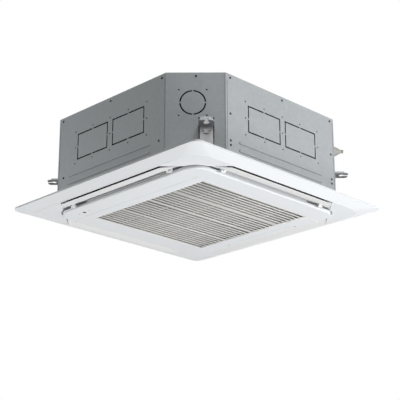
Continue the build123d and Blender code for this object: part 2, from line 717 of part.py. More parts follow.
def motor():
    """Stepped motor housing with a bored nose for the shaft, its hanger plate and four rubber mounts."""
    with BuildPart() as housing:
        for radius, low, high in ((52, 172, 238), (MOTOR_R, 236, 293)):
            with BuildSketch(Plane.XY.offset(low)):
                Circle(radius)
            extrude(amount=high - low)
        with BuildSketch(Plane.XY.offset(172)):
            Circle(SHAFT_R + RUNNING)
        extrude(amount=66, mode=Mode.SUBTRACT)
        with BuildSketch(Plane.XY.offset(244)):
            with PolarLocations(MOTOR_R, 24):
                Rectangle(3, 3)
        extrude(amount=42, mode=Mode.SUBTRACT)
    save("fan_motor", housing)

    with BuildPart() as hanger:
        with BuildSketch(Plane.XY.offset(293)):
            Circle(98)
            with PolarLocations(MOTOR_R + 12, 4):
                Circle(8, mode=Mode.SUBTRACT)
        extrude(amount=3)
    save("motor_hanger", hanger)

    with BuildPart() as mounts:
        with BuildSketch(Plane.XY.offset(296)):
            with PolarLocations(84, 4, start_angle=45):
                Circle(10)
        extrude(amount=WALL_TOP - 296)
    save("motor_rubber_mounts", mounts)


# ---- controls -----------------------------------------------------------------------------------
BOX_SIZE, BOX_Y, BOX_LOW = (300.0, 70.0), -249.0, 0.0


def controls():
    """Electrical box under the fan inlet's plate, its cover, circuit board, terminals and cable grommet."""
    sheet, length, depth = 1.2, *BOX_SIZE
    with BuildPart() as box:
        with BuildSketch(Plane.XY.offset(BOX_LOW)):
            with Locations((0, BOX_Y)):
                Rectangle(length, depth)
                Rectangle(length - 2 * sheet, depth - 2 * sheet, mode=Mode.SUBTRACT)
        extrude(amount=BELL_Z - BOX_LOW)
        with BuildSketch(Plane.XY.offset(BELL_Z - sheet)):
            with Locations((0, BOX_Y)):
                Rectangle(length - 1, depth - 1)
        extrude(amount=sheet)
    save("control_box", box)

    with BuildPart() as cover:
        with BuildSketch(Plane.XY.offset(BOX_LOW)):
            with Locations((0, BOX_Y)):
                RectangleRounded(length + 4, depth + 2, 3)
        extrude(amount=-sheet)
        with BuildSketch(Plane.XY.offset(BOX_LOW - sheet)):
            with Locations((0, BOX_Y)):
                RectangleRounded(length - 40, depth - 30, 6)
        extrude(amount=-1.0, taper=40)
    save("control_box_cover", cover)

    board_z = BELL_Z - 8
    with BuildPart() as board:
        with BuildSketch(Plane.XY.offset(board_z)):
            with Locations((-25, BOX_Y)):
                Rectangle(210, 58)
        extrude(amount=-1.6)
        for x, y, radius, height in ((-110, 10, 9, 20), (-88, 10, 9, 20), (-66, 8, 6, 14), (40, -12, 7, 16)):
            with BuildSketch(Plane.XY.offset(board_z - 1.6)):
                with Locations((x, BOX_Y + y)):
                    Circle(radius)
            extrude(amount=-height)
        for x, y, width, thick, height in ((-30, 6, 34, 28, 18), (10, 12, 20, 14, 10), (56, 12, 16, 12, 12), (-60, -18, 60, 8, 9)):
            with BuildSketch(Plane.XY.offset(board_z - 1.6)):
                with Locations((x, BOX_Y + y)):
                    Rectangle(width, thick)
            extrude(amount=-height)
        with BuildSketch(Plane.XY.offset(board_z)):
            with Locations((-25, BOX_Y)):
                with GridLocations(190, 44, 2, 2):
                    Circle(3)
        extrude(amount=BELL_Z - sheet - board_z)
    save("circuit_board", board)

    with BuildPart() as terminals:
        with BuildSketch(Plane.XY.offset(BELL_Z - sheet)):
            with Locations((118, BOX_Y)):
                Rectangle(26, 60)
        extrude(amount=-18)
        with BuildSketch(Plane.XY.offset(BELL_Z - sheet - 18)):
            with Locations((118, BOX_Y)):
                with GridLocations(0, 11, 1, 5):
                    Rectangle(20, 8)
        extrude(amount=6, mode=Mode.SUBTRACT)
    save("terminal_block", terminals)

    angle = CORNERS["back_left"]
    with BuildPart() as grommet:
        for radius, low, high in ((16, 0, 3), (12, -SHEET, 0), (16, -SHEET - 3, -SHEET)):
            with BuildSketch(spot(angle, CORNER_FACE + low, 62, 262)):
                Circle(radius)
                Circle(8, mode=Mode.SUBTRACT)
            extrude(amount=high - low)
    save("cable_grommet", grommet)


# ---- panel --------------------------------------------------------------------------------------
def slot_outline(grow=0.0):
    """Slanted air slot of one side in its plan plane, drawn larger by a distance."""
    reach = SLOT_REACH + grow * ROOT2
    inner, outer = SLOT_INNER - grow, SLOT_OUTER + grow
    return [(inner, reach - inner), (outer, reach - outer), (outer, outer - reach), (inner, inner - reach)]


def recess(z, height, mode, grow=0.0):
    """The recess of the grille and the four slots, added to or taken from the part being drawn."""
    with BuildSketch(Plane.XY.offset(z)) as outline:
        size = 2 * (GRILLE_HALF + GRILLE_GAP + grow)
        RectangleRounded(size, size, GRILLE_CORNER + GRILLE_GAP + grow)
        with PolarLocations(0, 4):
            Polygon(*slot_outline(grow), align=None)
    extrude(outline.sketch, amount=height, mode=mode)


def panel_frame():
    """Moulded ceiling panel: thin rim, sloping border, flat face, recess, duct openings and intake opening."""
    full = PANEL_SIZE
    with BuildPart() as panel:
        with BuildSketch(Plane.XY):
            RectangleRounded(full, full, PANEL_CORNER)
        extrude(amount=-RIM)
        with BuildSketch(Plane.XY.offset(-RIM)):
            RectangleRounded(full, full, PANEL_CORNER)
        with BuildSketch(Plane.XY.offset(FACE_Z)):
            RectangleRounded(FACE_SIZE, FACE_SIZE, FACE_CORNER)
        loft(ruled=True)
        with BuildSketch(Plane.XY):
            RectangleRounded(full - 2 * WALL, full - 2 * WALL, PANEL_CORNER - WALL)
        extrude(amount=-RIM + 1.5, mode=Mode.SUBTRACT)
        with BuildSketch(Plane.XY.offset(-RIM + 1.5)):
            RectangleRounded(full - 2 * WALL, full - 2 * WALL, PANEL_CORNER - WALL)
        with BuildSketch(Plane.XY.offset(FACE_Z + WALL)):
            RectangleRounded(FACE_SIZE - 2, FACE_SIZE - 2, FACE_CORNER)
        loft(ruled=True, mode=Mode.SUBTRACT)
        with BuildSketch(Plane.XY.offset(FACE_Z)):
            RectangleRounded(FACE_SIZE, FACE_SIZE, FACE_CORNER)
            RectangleRounded(FACE_SIZE - 2 * CREASE, FACE_SIZE - 2 * CREASE, FACE_CORNER - CREASE, mode=Mode.SUBTRACT)
        extrude(amount=0.8, mode=Mode.SUBTRACT)
        recess(FACE_Z + 2, FLOOR_Z + WALL - FACE_Z - 2, Mode.ADD, grow=WALL)
        recess(FACE_Z - 1, FLOOR_Z - FACE_Z + 1, Mode.SUBTRACT)
        with BuildSketch(Plane.XY.offset(FLOOR_Z - 1)):
            RectangleRounded(2 * INTAKE_HALF, 2 * INTAKE_HALF, 12)
            with GridLocations(2 * PANEL_SCREW, 2 * PANEL_SCREW, 2, 2):
                Circle(3.3)
        extrude(amount=WALL + 2, mode=Mode.SUBTRACT)
        for side, angle in SIDES.items():
            with BuildSketch(plan(angle, FLOOR_Z - 1)):
                with Locations(((SLOT_INNER + FLOOR_CUT) / 2, 0)):
                    Rectangle(FLOOR_CUT - SLOT_INNER, 2 * DUCT_HALF)
                with Locations((VANE_AXIS, BEARING_START + BEARING_WIDTH / 2)):
                    Rectangle(17, BEARING_WIDTH + 1)
            extrude(amount=WALL + 2, mode=Mode.SUBTRACT)
            outer, start, end = LIPS[side]
            inner = outer - LIP_THICK
            with BuildSketch(section(angle, start)):
                Polygon((354, FLOOR_Z), (inner, FLOOR_Z), (inner, LIP_Z), (outer, LIP_Z), (outer, FLOOR_Z + WALL),
                        (354, FLOOR_Z + WALL), align=None)
            extrude(amount=start - end)
            for i in range(-5, 6):
                with BuildSketch(section(angle, 60 * i)):
                    Polygon((425, -17.6), (466, -7.2), (466, -3), (425, -3), align=None)
                extrude(amount=0.9, both=True)
    save("panel_frame", panel)


def panel_foam():
    """Foam block on the back of the panel that carries the four air ducts and seals against the casing."""
    bottom, top = FLOOR_Z + WALL, CASING_BOTTOM - 0.1
    with BuildPart() as foam:
        with BuildSketch(Plane.XY.offset(bottom)):
            Polygon(*octagon(FLOOR_CUT, 664), align=None)
            RectangleRounded(2 * INTAKE_HALF, 2 * INTAKE_HALF, 12, mode=Mode.SUBTRACT)
            with GridLocations(2 * PANEL_SCREW, 2 * PANEL_SCREW, 2, 2):
                Circle(8, mode=Mode.SUBTRACT)
        extrude(amount=top - bottom)
        for angle in SIDES.values():
            with BuildSketch(plan(angle, bottom)):
                with Locations(((SLOT_INNER + DUCT_OUTER) / 2, 0)):
                    Rectangle(DUCT_OUTER - SLOT_INNER, 2 * DUCT_HALF)
                with Locations((VANE_AXIS, BEARING_START + 14.5)):
                    Rectangle(30, 31)
            extrude(amount=top - bottom, mode=Mode.SUBTRACT)
    save("panel_foam", foam)


def vane(side, angle):
    """Thin curved blade that stands a little open, with two bosses and pivot pins at its inner edge."""
    tilt = radians(VANE_TILT)
    start = Vector(377.0, -18.0)
    along, up = Vector(cos(tilt), -sin(tilt)), Vector(sin(tilt), cos(tilt))
    low_mid, high_mid = start + along * (VANE_WIDTH / 2) - up * 1.2, start + along * (VANE_WIDTH / 2) + up * 2.0
    tip_low, tip_high = start + along * VANE_WIDTH + up * 0.2, start + along * VANE_WIDTH + up * 1.8
    notch = VANE_AXIS + 9.5
    with BuildPart() as blade:
        with BuildSketch(section(angle)):
            with BuildLine():
                ThreePointArc(start, low_mid, tip_low)
                ThreePointArc(tip_low, (tip_low + tip_high) / 2 + along * 0.8, tip_high)
                ThreePointArc(tip_high, high_mid, start + up * 2.4)
                Line(start + up * 2.4, start)
            make_face()
        extrude(amount=320, both=True)
        reach = SLOT_REACH - VANE_GAP
        with BuildSketch(plan(angle, -60)):
            Polygon((360, reach - 360), (425, reach - 425), (425, 425 - reach), (360, 360 - reach), align=None)
            with Locations((notch - 30, BEARING_START + 99), (notch - 30, -BEARING_START - 99)):
                Rectangle(60, 200, mode=Mode.SUBTRACT)
        extrude(amount=60, mode=Mode.INTERSECT)
        for end in (-1, 1):
            with BuildSketch(section(angle, end * (BEARING_START - 11))):
                with Locations((VANE_AXIS, VANE_AXIS_Z)):
                    Circle(BOSS_R)
                Polygon((VANE_AXIS - 1, VANE_AXIS_Z + 4.9), (start.X + 3, start.Y + 1.4),
                        (start.X + 3, start.Y - 0.5), (VANE_AXIS + 1, VANE_AXIS_Z - 4.9), align=None)
            extrude(amount=-10 * end)
            with BuildSketch(section(angle, end * (BEARING_START - 2))):
                with Locations((VANE_AXIS, VANE_AXIS_Z)):
                    Circle(PIN_R)
            extrude(amount=-(BEARING_WIDTH + 1) * end)
    save(f"vane_{side}", blade)


def bearing_outline():
    """Rounded bearing lug around the vane axis in the section plane being drawn, up to the recess floor."""
    with Locations((VANE_AXIS, VANE_AXIS_Z)):
        Circle(5.5)
    with Locations((VANE_AXIS, (VANE_AXIS_Z + FLOOR_Z) / 2)):
        Rectangle(11, FLOOR_Z - VANE_AXIS_Z)
    with Locations((VANE_AXIS, VANE_AXIS_Z)):
        Circle(PIN_R + RUNNING, mode=Mode.SUBTRACT)


def vane_bearings():
    """Plain bearing lug at the motorless end of each vane, under the recess floor."""
    with BuildPart() as lugs:
        for angle in SIDES.values():
            with BuildSketch(section(angle, -BEARING_START)):
                bearing_outline()
            extrude(amount=BEARING_WIDTH)
    save("vane_bearings", lugs)


def vane_motors():
    """Geared stepper motors: a case whose lower end carries the vane's driven pin, and the motor can above."""
    case_top, can_z = 16.0, 5.5
    with BuildPart() as drives:
        for angle in SIDES.values():
            with BuildSketch(section(angle, BEARING_START)):
                bearing_outline()
                with Locations((VANE_AXIS, (FLOOR_Z + case_top) / 2)):
                    Rectangle(16, case_top - FLOOR_Z)
            extrude(amount=-BEARING_WIDTH)
            with BuildSketch(section(angle, BEARING_START + BEARING_WIDTH)):
                with Locations((VANE_AXIS, can_z)):
                    Circle(10.5)
            extrude(amount=-18)
    save("vane_motors", drives)


def panel_screws():
    places = [Plane(origin=(x, y, FLOOR_Z), z_dir=(0, 0, -1))
              for x in (-PANEL_SCREW, PANEL_SCREW) for y in (-PANEL_SCREW, PANEL_SCREW)]
    one = screw(7.0, 3.0, 3.0, 38.0)
    with BuildPart() as screws:
        with Locations(*places):
            add(one)
    save("panel_screws", screws)


# ---- grille -------------------------------------------------------------------------------------
FACE_INSIDE = GRILLE_Z + WALL
LOUVRE_CENTRE = (sum(LOUVRE_X) / 2, 0)
LOUVRE_SIZE = (LOUVRE_X[1] - LOUVRE_X[0], 2 * LOUVRE_HALF_Y)
KNOB = (15.4, 11.4)
RECEIVER = (-315.0, 253.0)
RECEIVER_R = 6.4
MARKS_Y = (224.0, 282.0)


def intake_grille():
    """Shallow tray under the intake: open field for the louvre, hinge ears, latch windows and receiver holes."""
    size = 2 * GRILLE_HALF
    groove_x, groove_y = -284.0, (-293.0, 332.0)
    with BuildPart() as tray:
        with BuildSketch(Plane.XY.offset(GRILLE_Z)):
            RectangleRounded(size, size, GRILLE_CORNER)
        extrude(amount=GRILLE_TOP - GRILLE_Z)
        fillet(tray.edges().group_by(Axis.Z)[0], radius=GRILLE_EDGE)
        with BuildSketch(Plane.XY.offset(FACE_INSIDE)):
            RectangleRounded(size - 2 * SIDE_WALL, size - 2 * SIDE_WALL, GRILLE_CORNER - SIDE_WALL)
        extrude(amount=20, mode=Mode.SUBTRACT)
        with BuildSketch(Plane.XY.offset(GRILLE_Z)):
            with Locations(LOUVRE_CENTRE):
                RectangleRounded(*LOUVRE_SIZE, 4)
            with Locations(*[(335 - LATCH_TRAVEL / 2 + 3, y) for y in LATCH_YS]):
                Rectangle(KNOB[0] + LATCH_TRAVEL + 0.6, KNOB[1] + 0.6)
            with Locations(RECEIVER):
                Circle(RECEIVER_R + 0.2)
            with Locations(*[(RECEIVER[0], y) for y in MARKS_Y]):
                SlotOverall(6, 2.2, rotation=90)
        extrude(amount=WALL, mode=Mode.SUBTRACT)
        with BuildSketch(Plane.XY.offset(GRILLE_Z)):
            with Locations((groove_x, sum(groove_y) / 2)):
                Rectangle(1.4, groove_y[1] - groove_y[0])
            with Locations((groove_x + 613, -18)):
                Rectangle(1.4, 350 - 58)
        extrude(amount=0.8, mode=Mode.SUBTRACT)
        for y in HINGE_YS:
            for side in (-1, 1):
                with BuildSketch(section(0, y + side * 7.5)):
                    with Locations((HINGE_X, HINGE_Z)):
                        Circle(4.5)
                    with Locations((HINGE_X, (HINGE_Z + FACE_INSIDE - 0.5) / 2)):
                        Rectangle(9, HINGE_Z - FACE_INSIDE + 0.5)
                    with Locations((HINGE_X, HINGE_Z)):
                        Circle(PIN_R, mode=Mode.SUBTRACT)
                extrude(amount=1.5, both=True)
        with BuildSketch(Plane.XY.offset(FACE_INSIDE)):
            with Locations((RECEIVER[0] + 4, MARKS_Y[0] - 8), (RECEIVER[0] + 4, MARKS_Y[1] + 8)):
                Circle(2.5)
        extrude(amount=3)
    save("intake_grille", tray)


def louvre():
    """Fine grille field: flat bars along X between three wide ribs, with crossbars behind and a border."""
    low, rib_top, border_top = GRILLE_Z + 0.4, FACE_INSIDE + 0.8, FACE_INSIDE + 2
    edges = [-LOUVRE_HALF_Y + 4, *[y + s * RIB_WIDTH / 2 for y in reversed(RIB_YS) for s in (-1, 1)], LOUVRE_HALF_Y - 4]
    gap = LOUVRE_PITCH - LOUVRE_BAR
    with BuildPart() as field:
        with BuildSketch(Plane.XY.offset(low)):
            with Locations(LOUVRE_CENTRE):
                RectangleRounded(LOUVRE_SIZE[0] - 0.4, LOUVRE_SIZE[1] - 0.4, 3.8)
            for start, end in zip(edges[0::2], edges[1::2]):
                count = int((end - start + LOUVRE_BAR) / LOUVRE_PITCH)
                with Locations((LOUVRE_CENTRE[0], (start + end) / 2)):
                    with GridLocations(1, LOUVRE_PITCH, 1, count):
                        Rectangle(LOUVRE_SIZE[0] - 8, gap, mode=Mode.SUBTRACT)
        extrude(amount=LOUVRE_THICK)
        with BuildSketch(Plane.XY.offset(low + LOUVRE_THICK)):
            with Locations(LOUVRE_CENTRE):
                Rectangle(LOUVRE_SIZE[0] - 0.4, LOUVRE_SIZE[1] - 0.4)
                Rectangle(LOUVRE_SIZE[0] - 8, LOUVRE_SIZE[1] - 8, mode=Mode.SUBTRACT)
                with GridLocations((LOUVRE_SIZE[0] - 8) / 5, 1, 4, 1):
                    Rectangle(2, LOUVRE_SIZE[1] - 8)
            with Locations(*[(LOUVRE_CENTRE[0], y) for y in RIB_YS]):
                Rectangle(LOUVRE_SIZE[0] - 8, RIB_WIDTH)
        extrude(amount=rib_top - low - LOUVRE_THICK)
        with BuildSketch(Plane.XY.offset(FACE_INSIDE)):
            with Locations(LOUVRE_CENTRE):
                Rectangle(LOUVRE_SIZE[0] + 8, LOUVRE_SIZE[1] + 8)
                Rectangle(LOUVRE_SIZE[0] - 6, LOUVRE_SIZE[1] - 6, mode=Mode.SUBTRACT)
        extrude(amount=border_top - FACE_INSIDE)
    save("grille_louvre", field)


def air_filter():
    """Filter frame with crossbars lying on the louvre's border, and the net welded on it."""
    low, high, net = FACE_INSIDE + 2, FACE_INSIDE + 6.4, 0.6
    width, depth = LOUVRE_SIZE[0] + 6, LOUVRE_SIZE[1] + 6
    with BuildPart() as frame:
        with BuildSketch(Plane.XY.offset(low)):
            with Locations(LOUVRE_CENTRE):
                Rectangle(width, depth)
                with GridLocations((width - 4) / 4, (depth - 4) / 4, 4, 4):
                    Rectangle((width - 4) / 4 - 4, (depth - 4) / 4 - 4, mode=Mode.SUBTRACT)
        extrude(amount=high - low)
    save("filter_frame", frame)

    with BuildPart() as sheet:
        with BuildSketch(Plane.XY.offset(high)):
            with Locations(LOUVRE_CENTRE):
                Rectangle(width - 2, depth - 2)
        extrude(amount=net)
    save("filter_net", sheet)


def receiver():
    """Signal receiver window with an indicator on each side, and the display board behind them."""
    with BuildPart() as window:
        with BuildSketch(Plane.XY.offset(GRILLE_Z)):
            with Locations(RECEIVER):
                Circle(RECEIVER_R)
            with Locations(*[(RECEIVER[0], y) for y in MARKS_Y]):
                SlotOverall(5.6, 1.8, rotation=90)
        extrude(amount=5.5)
    save("receiver_window", window)

    with BuildPart() as board:
        with BuildSketch(Plane.XY.offset(FACE_INSIDE + 3)):
            with Locations((RECEIVER[0], RECEIVER[1])):
                Rectangle(24, 84)
        extrude(amount=1.6)
        with BuildSketch(Plane.XY.offset(FACE_INSIDE + 4.6)):
            with Locations((RECEIVER[0], RECEIVER[1] - 20)):
                Rectangle(12, 20)
        extrude(amount=2.4)
    save("display_board", board)


def hinge():
    """Brackets under the panel's recess floor that carry the grille, and the pins that the grille turns on."""
    with BuildPart() as brackets:
        for y in HINGE_YS:
            with BuildSketch(section(180, -y)):
                out, z = -HINGE_X, HINGE_Z
                Polygon((out, z - 4.5), (out - 12, z - 4.5), (out - 12, FLOOR_Z), (out - 3.5, FLOOR_Z), (out - 2.5, z + 4.5),
                        (out, z + 4.5), align=None)
                with Locations((out, z)):
                    Circle(4.5)
                    Circle(PIN_R + RUNNING, mode=Mode.SUBTRACT)
            extrude(amount=3, both=True)
    save("hinge_brackets", brackets)

    with BuildPart() as pins:
        for y in HINGE_YS:
            with BuildSketch(section(180, -y)):
                with Locations((-HINGE_X, HINGE_Z)):
                    Circle(PIN_R)
            extrude(amount=10, both=True)
    save("hinge_pins", pins)


def latches():
    """Two sliding latches in the grille, drawn back, and the keepers that hang from the panel."""
    plate_x, plate_width, tongue_end = (320.0, 342.0), 20.0, 348.5
    for name, y in zip(("front", "back"), LATCH_YS):
        with BuildPart() as slider:
            with BuildSketch(Plane.XY.offset(GRILLE_Z)):
                with Locations((332, y)):
                    RectangleRounded(*KNOB, 1.5)
            extrude(amount=WALL + 0.3)
            with BuildSketch(Plane.XY.offset(FACE_INSIDE + 0.2)):
                with Locations((sum(plate_x) / 2, y)):
                    Rectangle(plate_x[1] - plate_x[0], plate_width)
            extrude(amount=2.6)
            with BuildSketch(Plane.XY.offset(FACE_INSIDE + 2.8)):
                with Locations(((330 + tongue_end) / 2, y)):
                    Rectangle(tongue_end - 330, 12)
            extrude(amount=2.5)
        save(f"latch_{name}", slider)

    with BuildPart() as keepers:
        for y in LATCH_YS:
            with BuildSketch(section(0, y)):
                Polygon((350, -26.6), (356.5, -26.6), (356.5, FLOOR_Z), (355, FLOOR_Z), (355, -24.9), (350, -24.9), align=None)
            extrude(amount=8, both=True)
    save("latch_keepers", keepers)


def build():
    top_plate()
    for side, angle in SIDES.items():
        side_plate(side, angle)
        vane(side, angle)
    for corner, angle in CORNERS.items():
        corner_plate(corner, angle)
    hanger_brackets()
    casing_screws()
    foam_liner()
    coil()
    pipes()
    drain_pan()
    drain_pump()
    drain_outlet()
    bell_mouth()
    fan()
    motor()
    controls()
    panel_frame()
    panel_foam()
    vane_bearings()
    vane_motors()
    panel_screws()
    intake_grille()
    louvre()
    air_filter()
    receiver()
    hinge()
    latches()


build()
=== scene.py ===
"""Ceiling cassette air conditioner: finishes, fine pieces, lamps and camera round the solids of its frame."""
import math

import bpy
import numpy as np
from mathutils import Matrix, Vector


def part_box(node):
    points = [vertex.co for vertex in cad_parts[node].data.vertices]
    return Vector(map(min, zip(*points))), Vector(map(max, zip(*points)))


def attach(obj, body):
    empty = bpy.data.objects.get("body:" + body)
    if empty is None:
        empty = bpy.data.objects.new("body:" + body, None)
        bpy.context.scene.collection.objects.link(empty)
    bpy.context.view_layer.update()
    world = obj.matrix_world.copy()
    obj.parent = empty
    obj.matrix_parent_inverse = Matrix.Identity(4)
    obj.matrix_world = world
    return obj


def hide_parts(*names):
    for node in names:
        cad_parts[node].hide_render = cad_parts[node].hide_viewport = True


bl_info = {
    "name": "Ceiling Cassette Air Conditioner",
    "version": (1, 0, 0),
    "blender": (4, 5, 0),
    "location": "3D View > Sidebar > Cassette",
    "description": "Dresses the ceiling cassette's solids with finishes and fine pieces",
    "category": "Object",
}

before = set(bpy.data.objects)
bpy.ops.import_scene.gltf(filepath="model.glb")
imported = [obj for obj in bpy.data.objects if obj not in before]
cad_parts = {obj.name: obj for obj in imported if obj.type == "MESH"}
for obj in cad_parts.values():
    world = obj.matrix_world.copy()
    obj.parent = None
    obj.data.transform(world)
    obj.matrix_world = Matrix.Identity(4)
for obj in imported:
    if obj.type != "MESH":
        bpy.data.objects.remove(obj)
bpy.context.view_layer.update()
MM = 0.001
UP = np.array([0, 0, 1.0])


def size_of(node):
    """Lowest and highest corner of a solid, in millimetres."""
    low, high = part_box(node)
    return np.array(low) / MM, np.array(high) / MM


LOUVRE_LOW, LOUVRE_HIGH = size_of("grille_louvre")
FINS_LOW, FINS_HIGH = size_of("coil_fins")
NET_LOW, NET_HIGH = size_of("filter_net")

# Distances of the casing's walls and of its cut corners from the unit's axis, in millimetres.
WALL = 420.0
CORNER = 699 / math.sqrt(2)


# ---- meshes worked out as arrays, in millimetres -------------------------------------------------
SQUARENESS = 5
ASKEW = (0.3, 0.2, 0.9)             # a direction that no tube runs along


def grid_faces(rows, columns, close_rows=False, close_columns=False):
    """Quads of a grid of points: each joins point (i, j) with its neighbours in i and j."""
    i = np.arange(rows if close_rows else rows - 1)
    j = np.arange(columns if close_columns else columns - 1)
    i, j = (a.ravel() for a in np.meshgrid(i, j, indexing="ij"))
    ni, nj = (i + 1) % rows, (j + 1) % columns
    return np.stack([i * columns + j, ni * columns + j, ni * columns + nj, i * columns + nj], axis=1)


def faces_of_copies(faces, copies, points_each):
    """Faces of equal copies of one shape: the numbers move on by one copy's points for each copy."""
    moved = np.arange(copies)[:, None, None] * points_each + faces[None]
    return moved.reshape(-1, faces.shape[1])


def joined(shapes):
    """One shape from several: the face numbers move on by the points that stand before them."""
    points, faces, start = [], [], 0
    for some_points, some_faces in shapes:
        points.append(some_points)
        faces.append(some_faces + start)
        start += len(some_points)
    return np.concatenate(points), np.concatenate(faces)


def inside_out(shape):
    """The same shape with its faces turned to the other side."""
    points, faces = shape
    return points, faces[:, ::-1]


def bar(profile, start, end):
    """Closed bar: a ring profile of (sideways, up) points set at both ends of a line, with a fan on each end.

    A point is start or end, plus sideways times the level direction square to the line, plus up times z."""
    start, end = np.array(start, float), np.array(end, float)
    along = (end - start) / np.linalg.norm(end - start)
    sideways = np.cross(UP, along)
    sideways = sideways / np.linalg.norm(sideways)
    ring = profile[:, :1] * sideways + profile[:, 1:] * UP
    middle = ring.mean(axis=0)
    points = np.concatenate([[start + middle], start + ring, end + ring, [end + middle]])
    n = len(profile)
    k = np.arange(n)
    nk = (k + 1) % n
    sides = np.stack([1 + k, 1 + nk, 1 + n + nk, 1 + n + k], axis=1)
    first = np.stack([np.zeros(n, int), 1 + nk, 1 + k, 1 + k], axis=1)
    last = np.stack([np.full(n, 2 * n + 1), 1 + n + k, 1 + n + nk, 1 + n + nk], axis=1)
    return points, np.concatenate([sides, first, last])


def bars_along_x(profile, places, start, end, z):
    """One bar for each place on the y axis, from start to end along x at height z."""
    return [bar(profile, (start, y, z), (end, y, z)) for y in places]


def bars_along_y(profile, places, start, end, z):
    """One bar for each place on the x axis, from start to end along y at height z."""
    return [bar(profile, (x, start, z), (x, end, z)) for x in places]


def rounded_bar(width, height, steps=3):
    """Ring of a rounded rectangle: a superellipse, whose power is its squareness."""
    angle = np.linspace(0, 2 * np.pi, 4 * steps, endpoint=False) + np.pi / (4 * steps)
    c, s = np.cos(angle), np.sin(angle)
    x = np.sign(c) * np.abs(c) ** (2 / SQUARENESS) * width / 2
    y = np.sign(s) * np.abs(s) ** (2 / SQUARENESS) * height / 2
    return np.stack([x, y], axis=1)


def turned(profile, steps):
    """Surface of revolution: each (radius, z) of the profile at equal angles round the z axis."""
    angle = np.linspace(0, 2 * np.pi, steps, endpoint=False)
    r, z = profile[:, 0], profile[:, 1]
    points = np.stack([r[None, :] * np.cos(angle)[:, None], r[None, :] * np.sin(angle)[:, None],
                       np.broadcast_to(z, (len(angle), len(z)))], axis=-1)
    return points.reshape(-1, 3), grid_faces(len(angle), len(profile), close_rows=True)


def tube_along(path, radius, sides):
    """Tube: at each path point a circle of that point's radius, square to the path's direction there.

    The circle's first direction is carried from ring to ring by taking away its part along the path."""
    ahead = np.gradient(path, axis=0)
    ahead /= np.linalg.norm(ahead, axis=1)[:, None]
    side = np.cross(ahead[0], ASKEW)
    frames = []
    for direction in ahead:
        side = side - direction * np.dot(side, direction)
        side = side / np.linalg.norm(side)
        frames.append((side, np.cross(direction, side)))
    first, second = np.array([f[0] for f in frames]), np.array([f[1] for f in frames])
    angle = np.linspace(0, 2 * np.pi, sides, endpoint=False)
    r = np.broadcast_to(radius, len(path))[:, None, None]
    points = path[:, None, :] + r * (np.cos(angle)[None, :, None] * first[:, None, :]
                                     + np.sin(angle)[None, :, None] * second[:, None, :])
    return points.reshape(-1, 3), grid_faces(len(path), sides, close_columns=True)


def ring_path(half, corner, spacing):
    """Points and outward directions at equal steps round a rounded square.

    Straight runs join quarter circles of the corner's radius; a point is found by its length on the path."""
    flat = half - corner
    quarter = corner * np.pi / 2
    total = 4 * (2 * flat + quarter)
    count = int(total / spacing)
    s = np.arange(count) * total / count
    side = np.floor(s / (2 * flat + quarter)).astype(int)
    t = s - side * (2 * flat + quarter)
    straight = t < 2 * flat
    bend = np.where(straight, 0.0, (t - 2 * flat) / corner)
    x = np.where(straight, half, flat + corner * np.cos(bend))
    y = np.where(straight, t - flat, flat + corner * np.sin(bend))
    nx, ny = np.cos(bend), np.sin(bend)
    turn = side * np.pi / 2
    c, d = np.cos(turn), np.sin(turn)
    return (np.stack([x * c - y * d, x * d + y * c], axis=1),
            np.stack([nx * c - ny * d, nx * d + ny * c], axis=1))


def smooth_step(x):
    """0 below 0, 1 above 1 and 3x² - 2x³ between."""
    x = np.clip(x, 0, 1)
    return x * x * (3 - 2 * x)


def make_piece(name, shape, material, body, replaced, smooth=True):
    """Puts one shape, in millimetres, into a mesh object that rides on a body and may stand for solids."""
    points, faces = shape
    mesh = bpy.data.meshes.new(name)
    flat = faces.astype(np.int32)
    triangle = flat[:, 2] == flat[:, 3]
    loops = np.where(triangle, 3, 4)
    keep = np.ones(flat.shape, bool)
    keep[:, 3] = ~triangle
    mesh.vertices.add(len(points))
    mesh.vertices.foreach_set("co", (points * MM).astype(np.float32).ravel())
    mesh.loops.add(int(loops.sum()))
    mesh.loops.foreach_set("vertex_index", flat[keep])
    mesh.polygons.add(len(flat))
    mesh.polygons.foreach_set("loop_start", np.concatenate([[0], np.cumsum(loops)[:-1]]).astype(np.int32))
    mesh.polygons.foreach_set("use_smooth", np.full(len(flat), smooth))
    mesh.update(calc_edges=True)
    mesh.validate()
    mesh.materials.append(material)
    piece = bpy.data.objects.new(name, mesh)
    bpy.context.scene.collection.objects.link(piece)
    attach(piece, body)
    if replaced:
        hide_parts(*replaced)


# ---- shader maths --------------------------------------------------------------------------------
class Value:
    """A number inside a material that can be used in sums; each sum adds its Math node."""

    def __init__(self, finish, socket):
        self.finish, self.socket = finish, socket

    def maths(self, operation, other, flipped=False, clamp=False):
        values = {0: other, 1: self} if flipped else {0: self, 1: other}
        return self.finish.node("ShaderNodeMath", {"operation": operation, "use_clamp": clamp}, values)

    def __add__(self, other):
        return self.maths("ADD", other)

    __radd__ = __add__

    def __mul__(self, other):
        return self.maths("MULTIPLY", other)

    def __sub__(self, other):
        return self.maths("SUBTRACT", other)

    def __rsub__(self, other):
        return self.maths("SUBTRACT", other, flipped=True)

    def clamped(self):
        """The same number, held between 0 and 1."""
        return self.maths("ADD", 0.0, clamp=True)


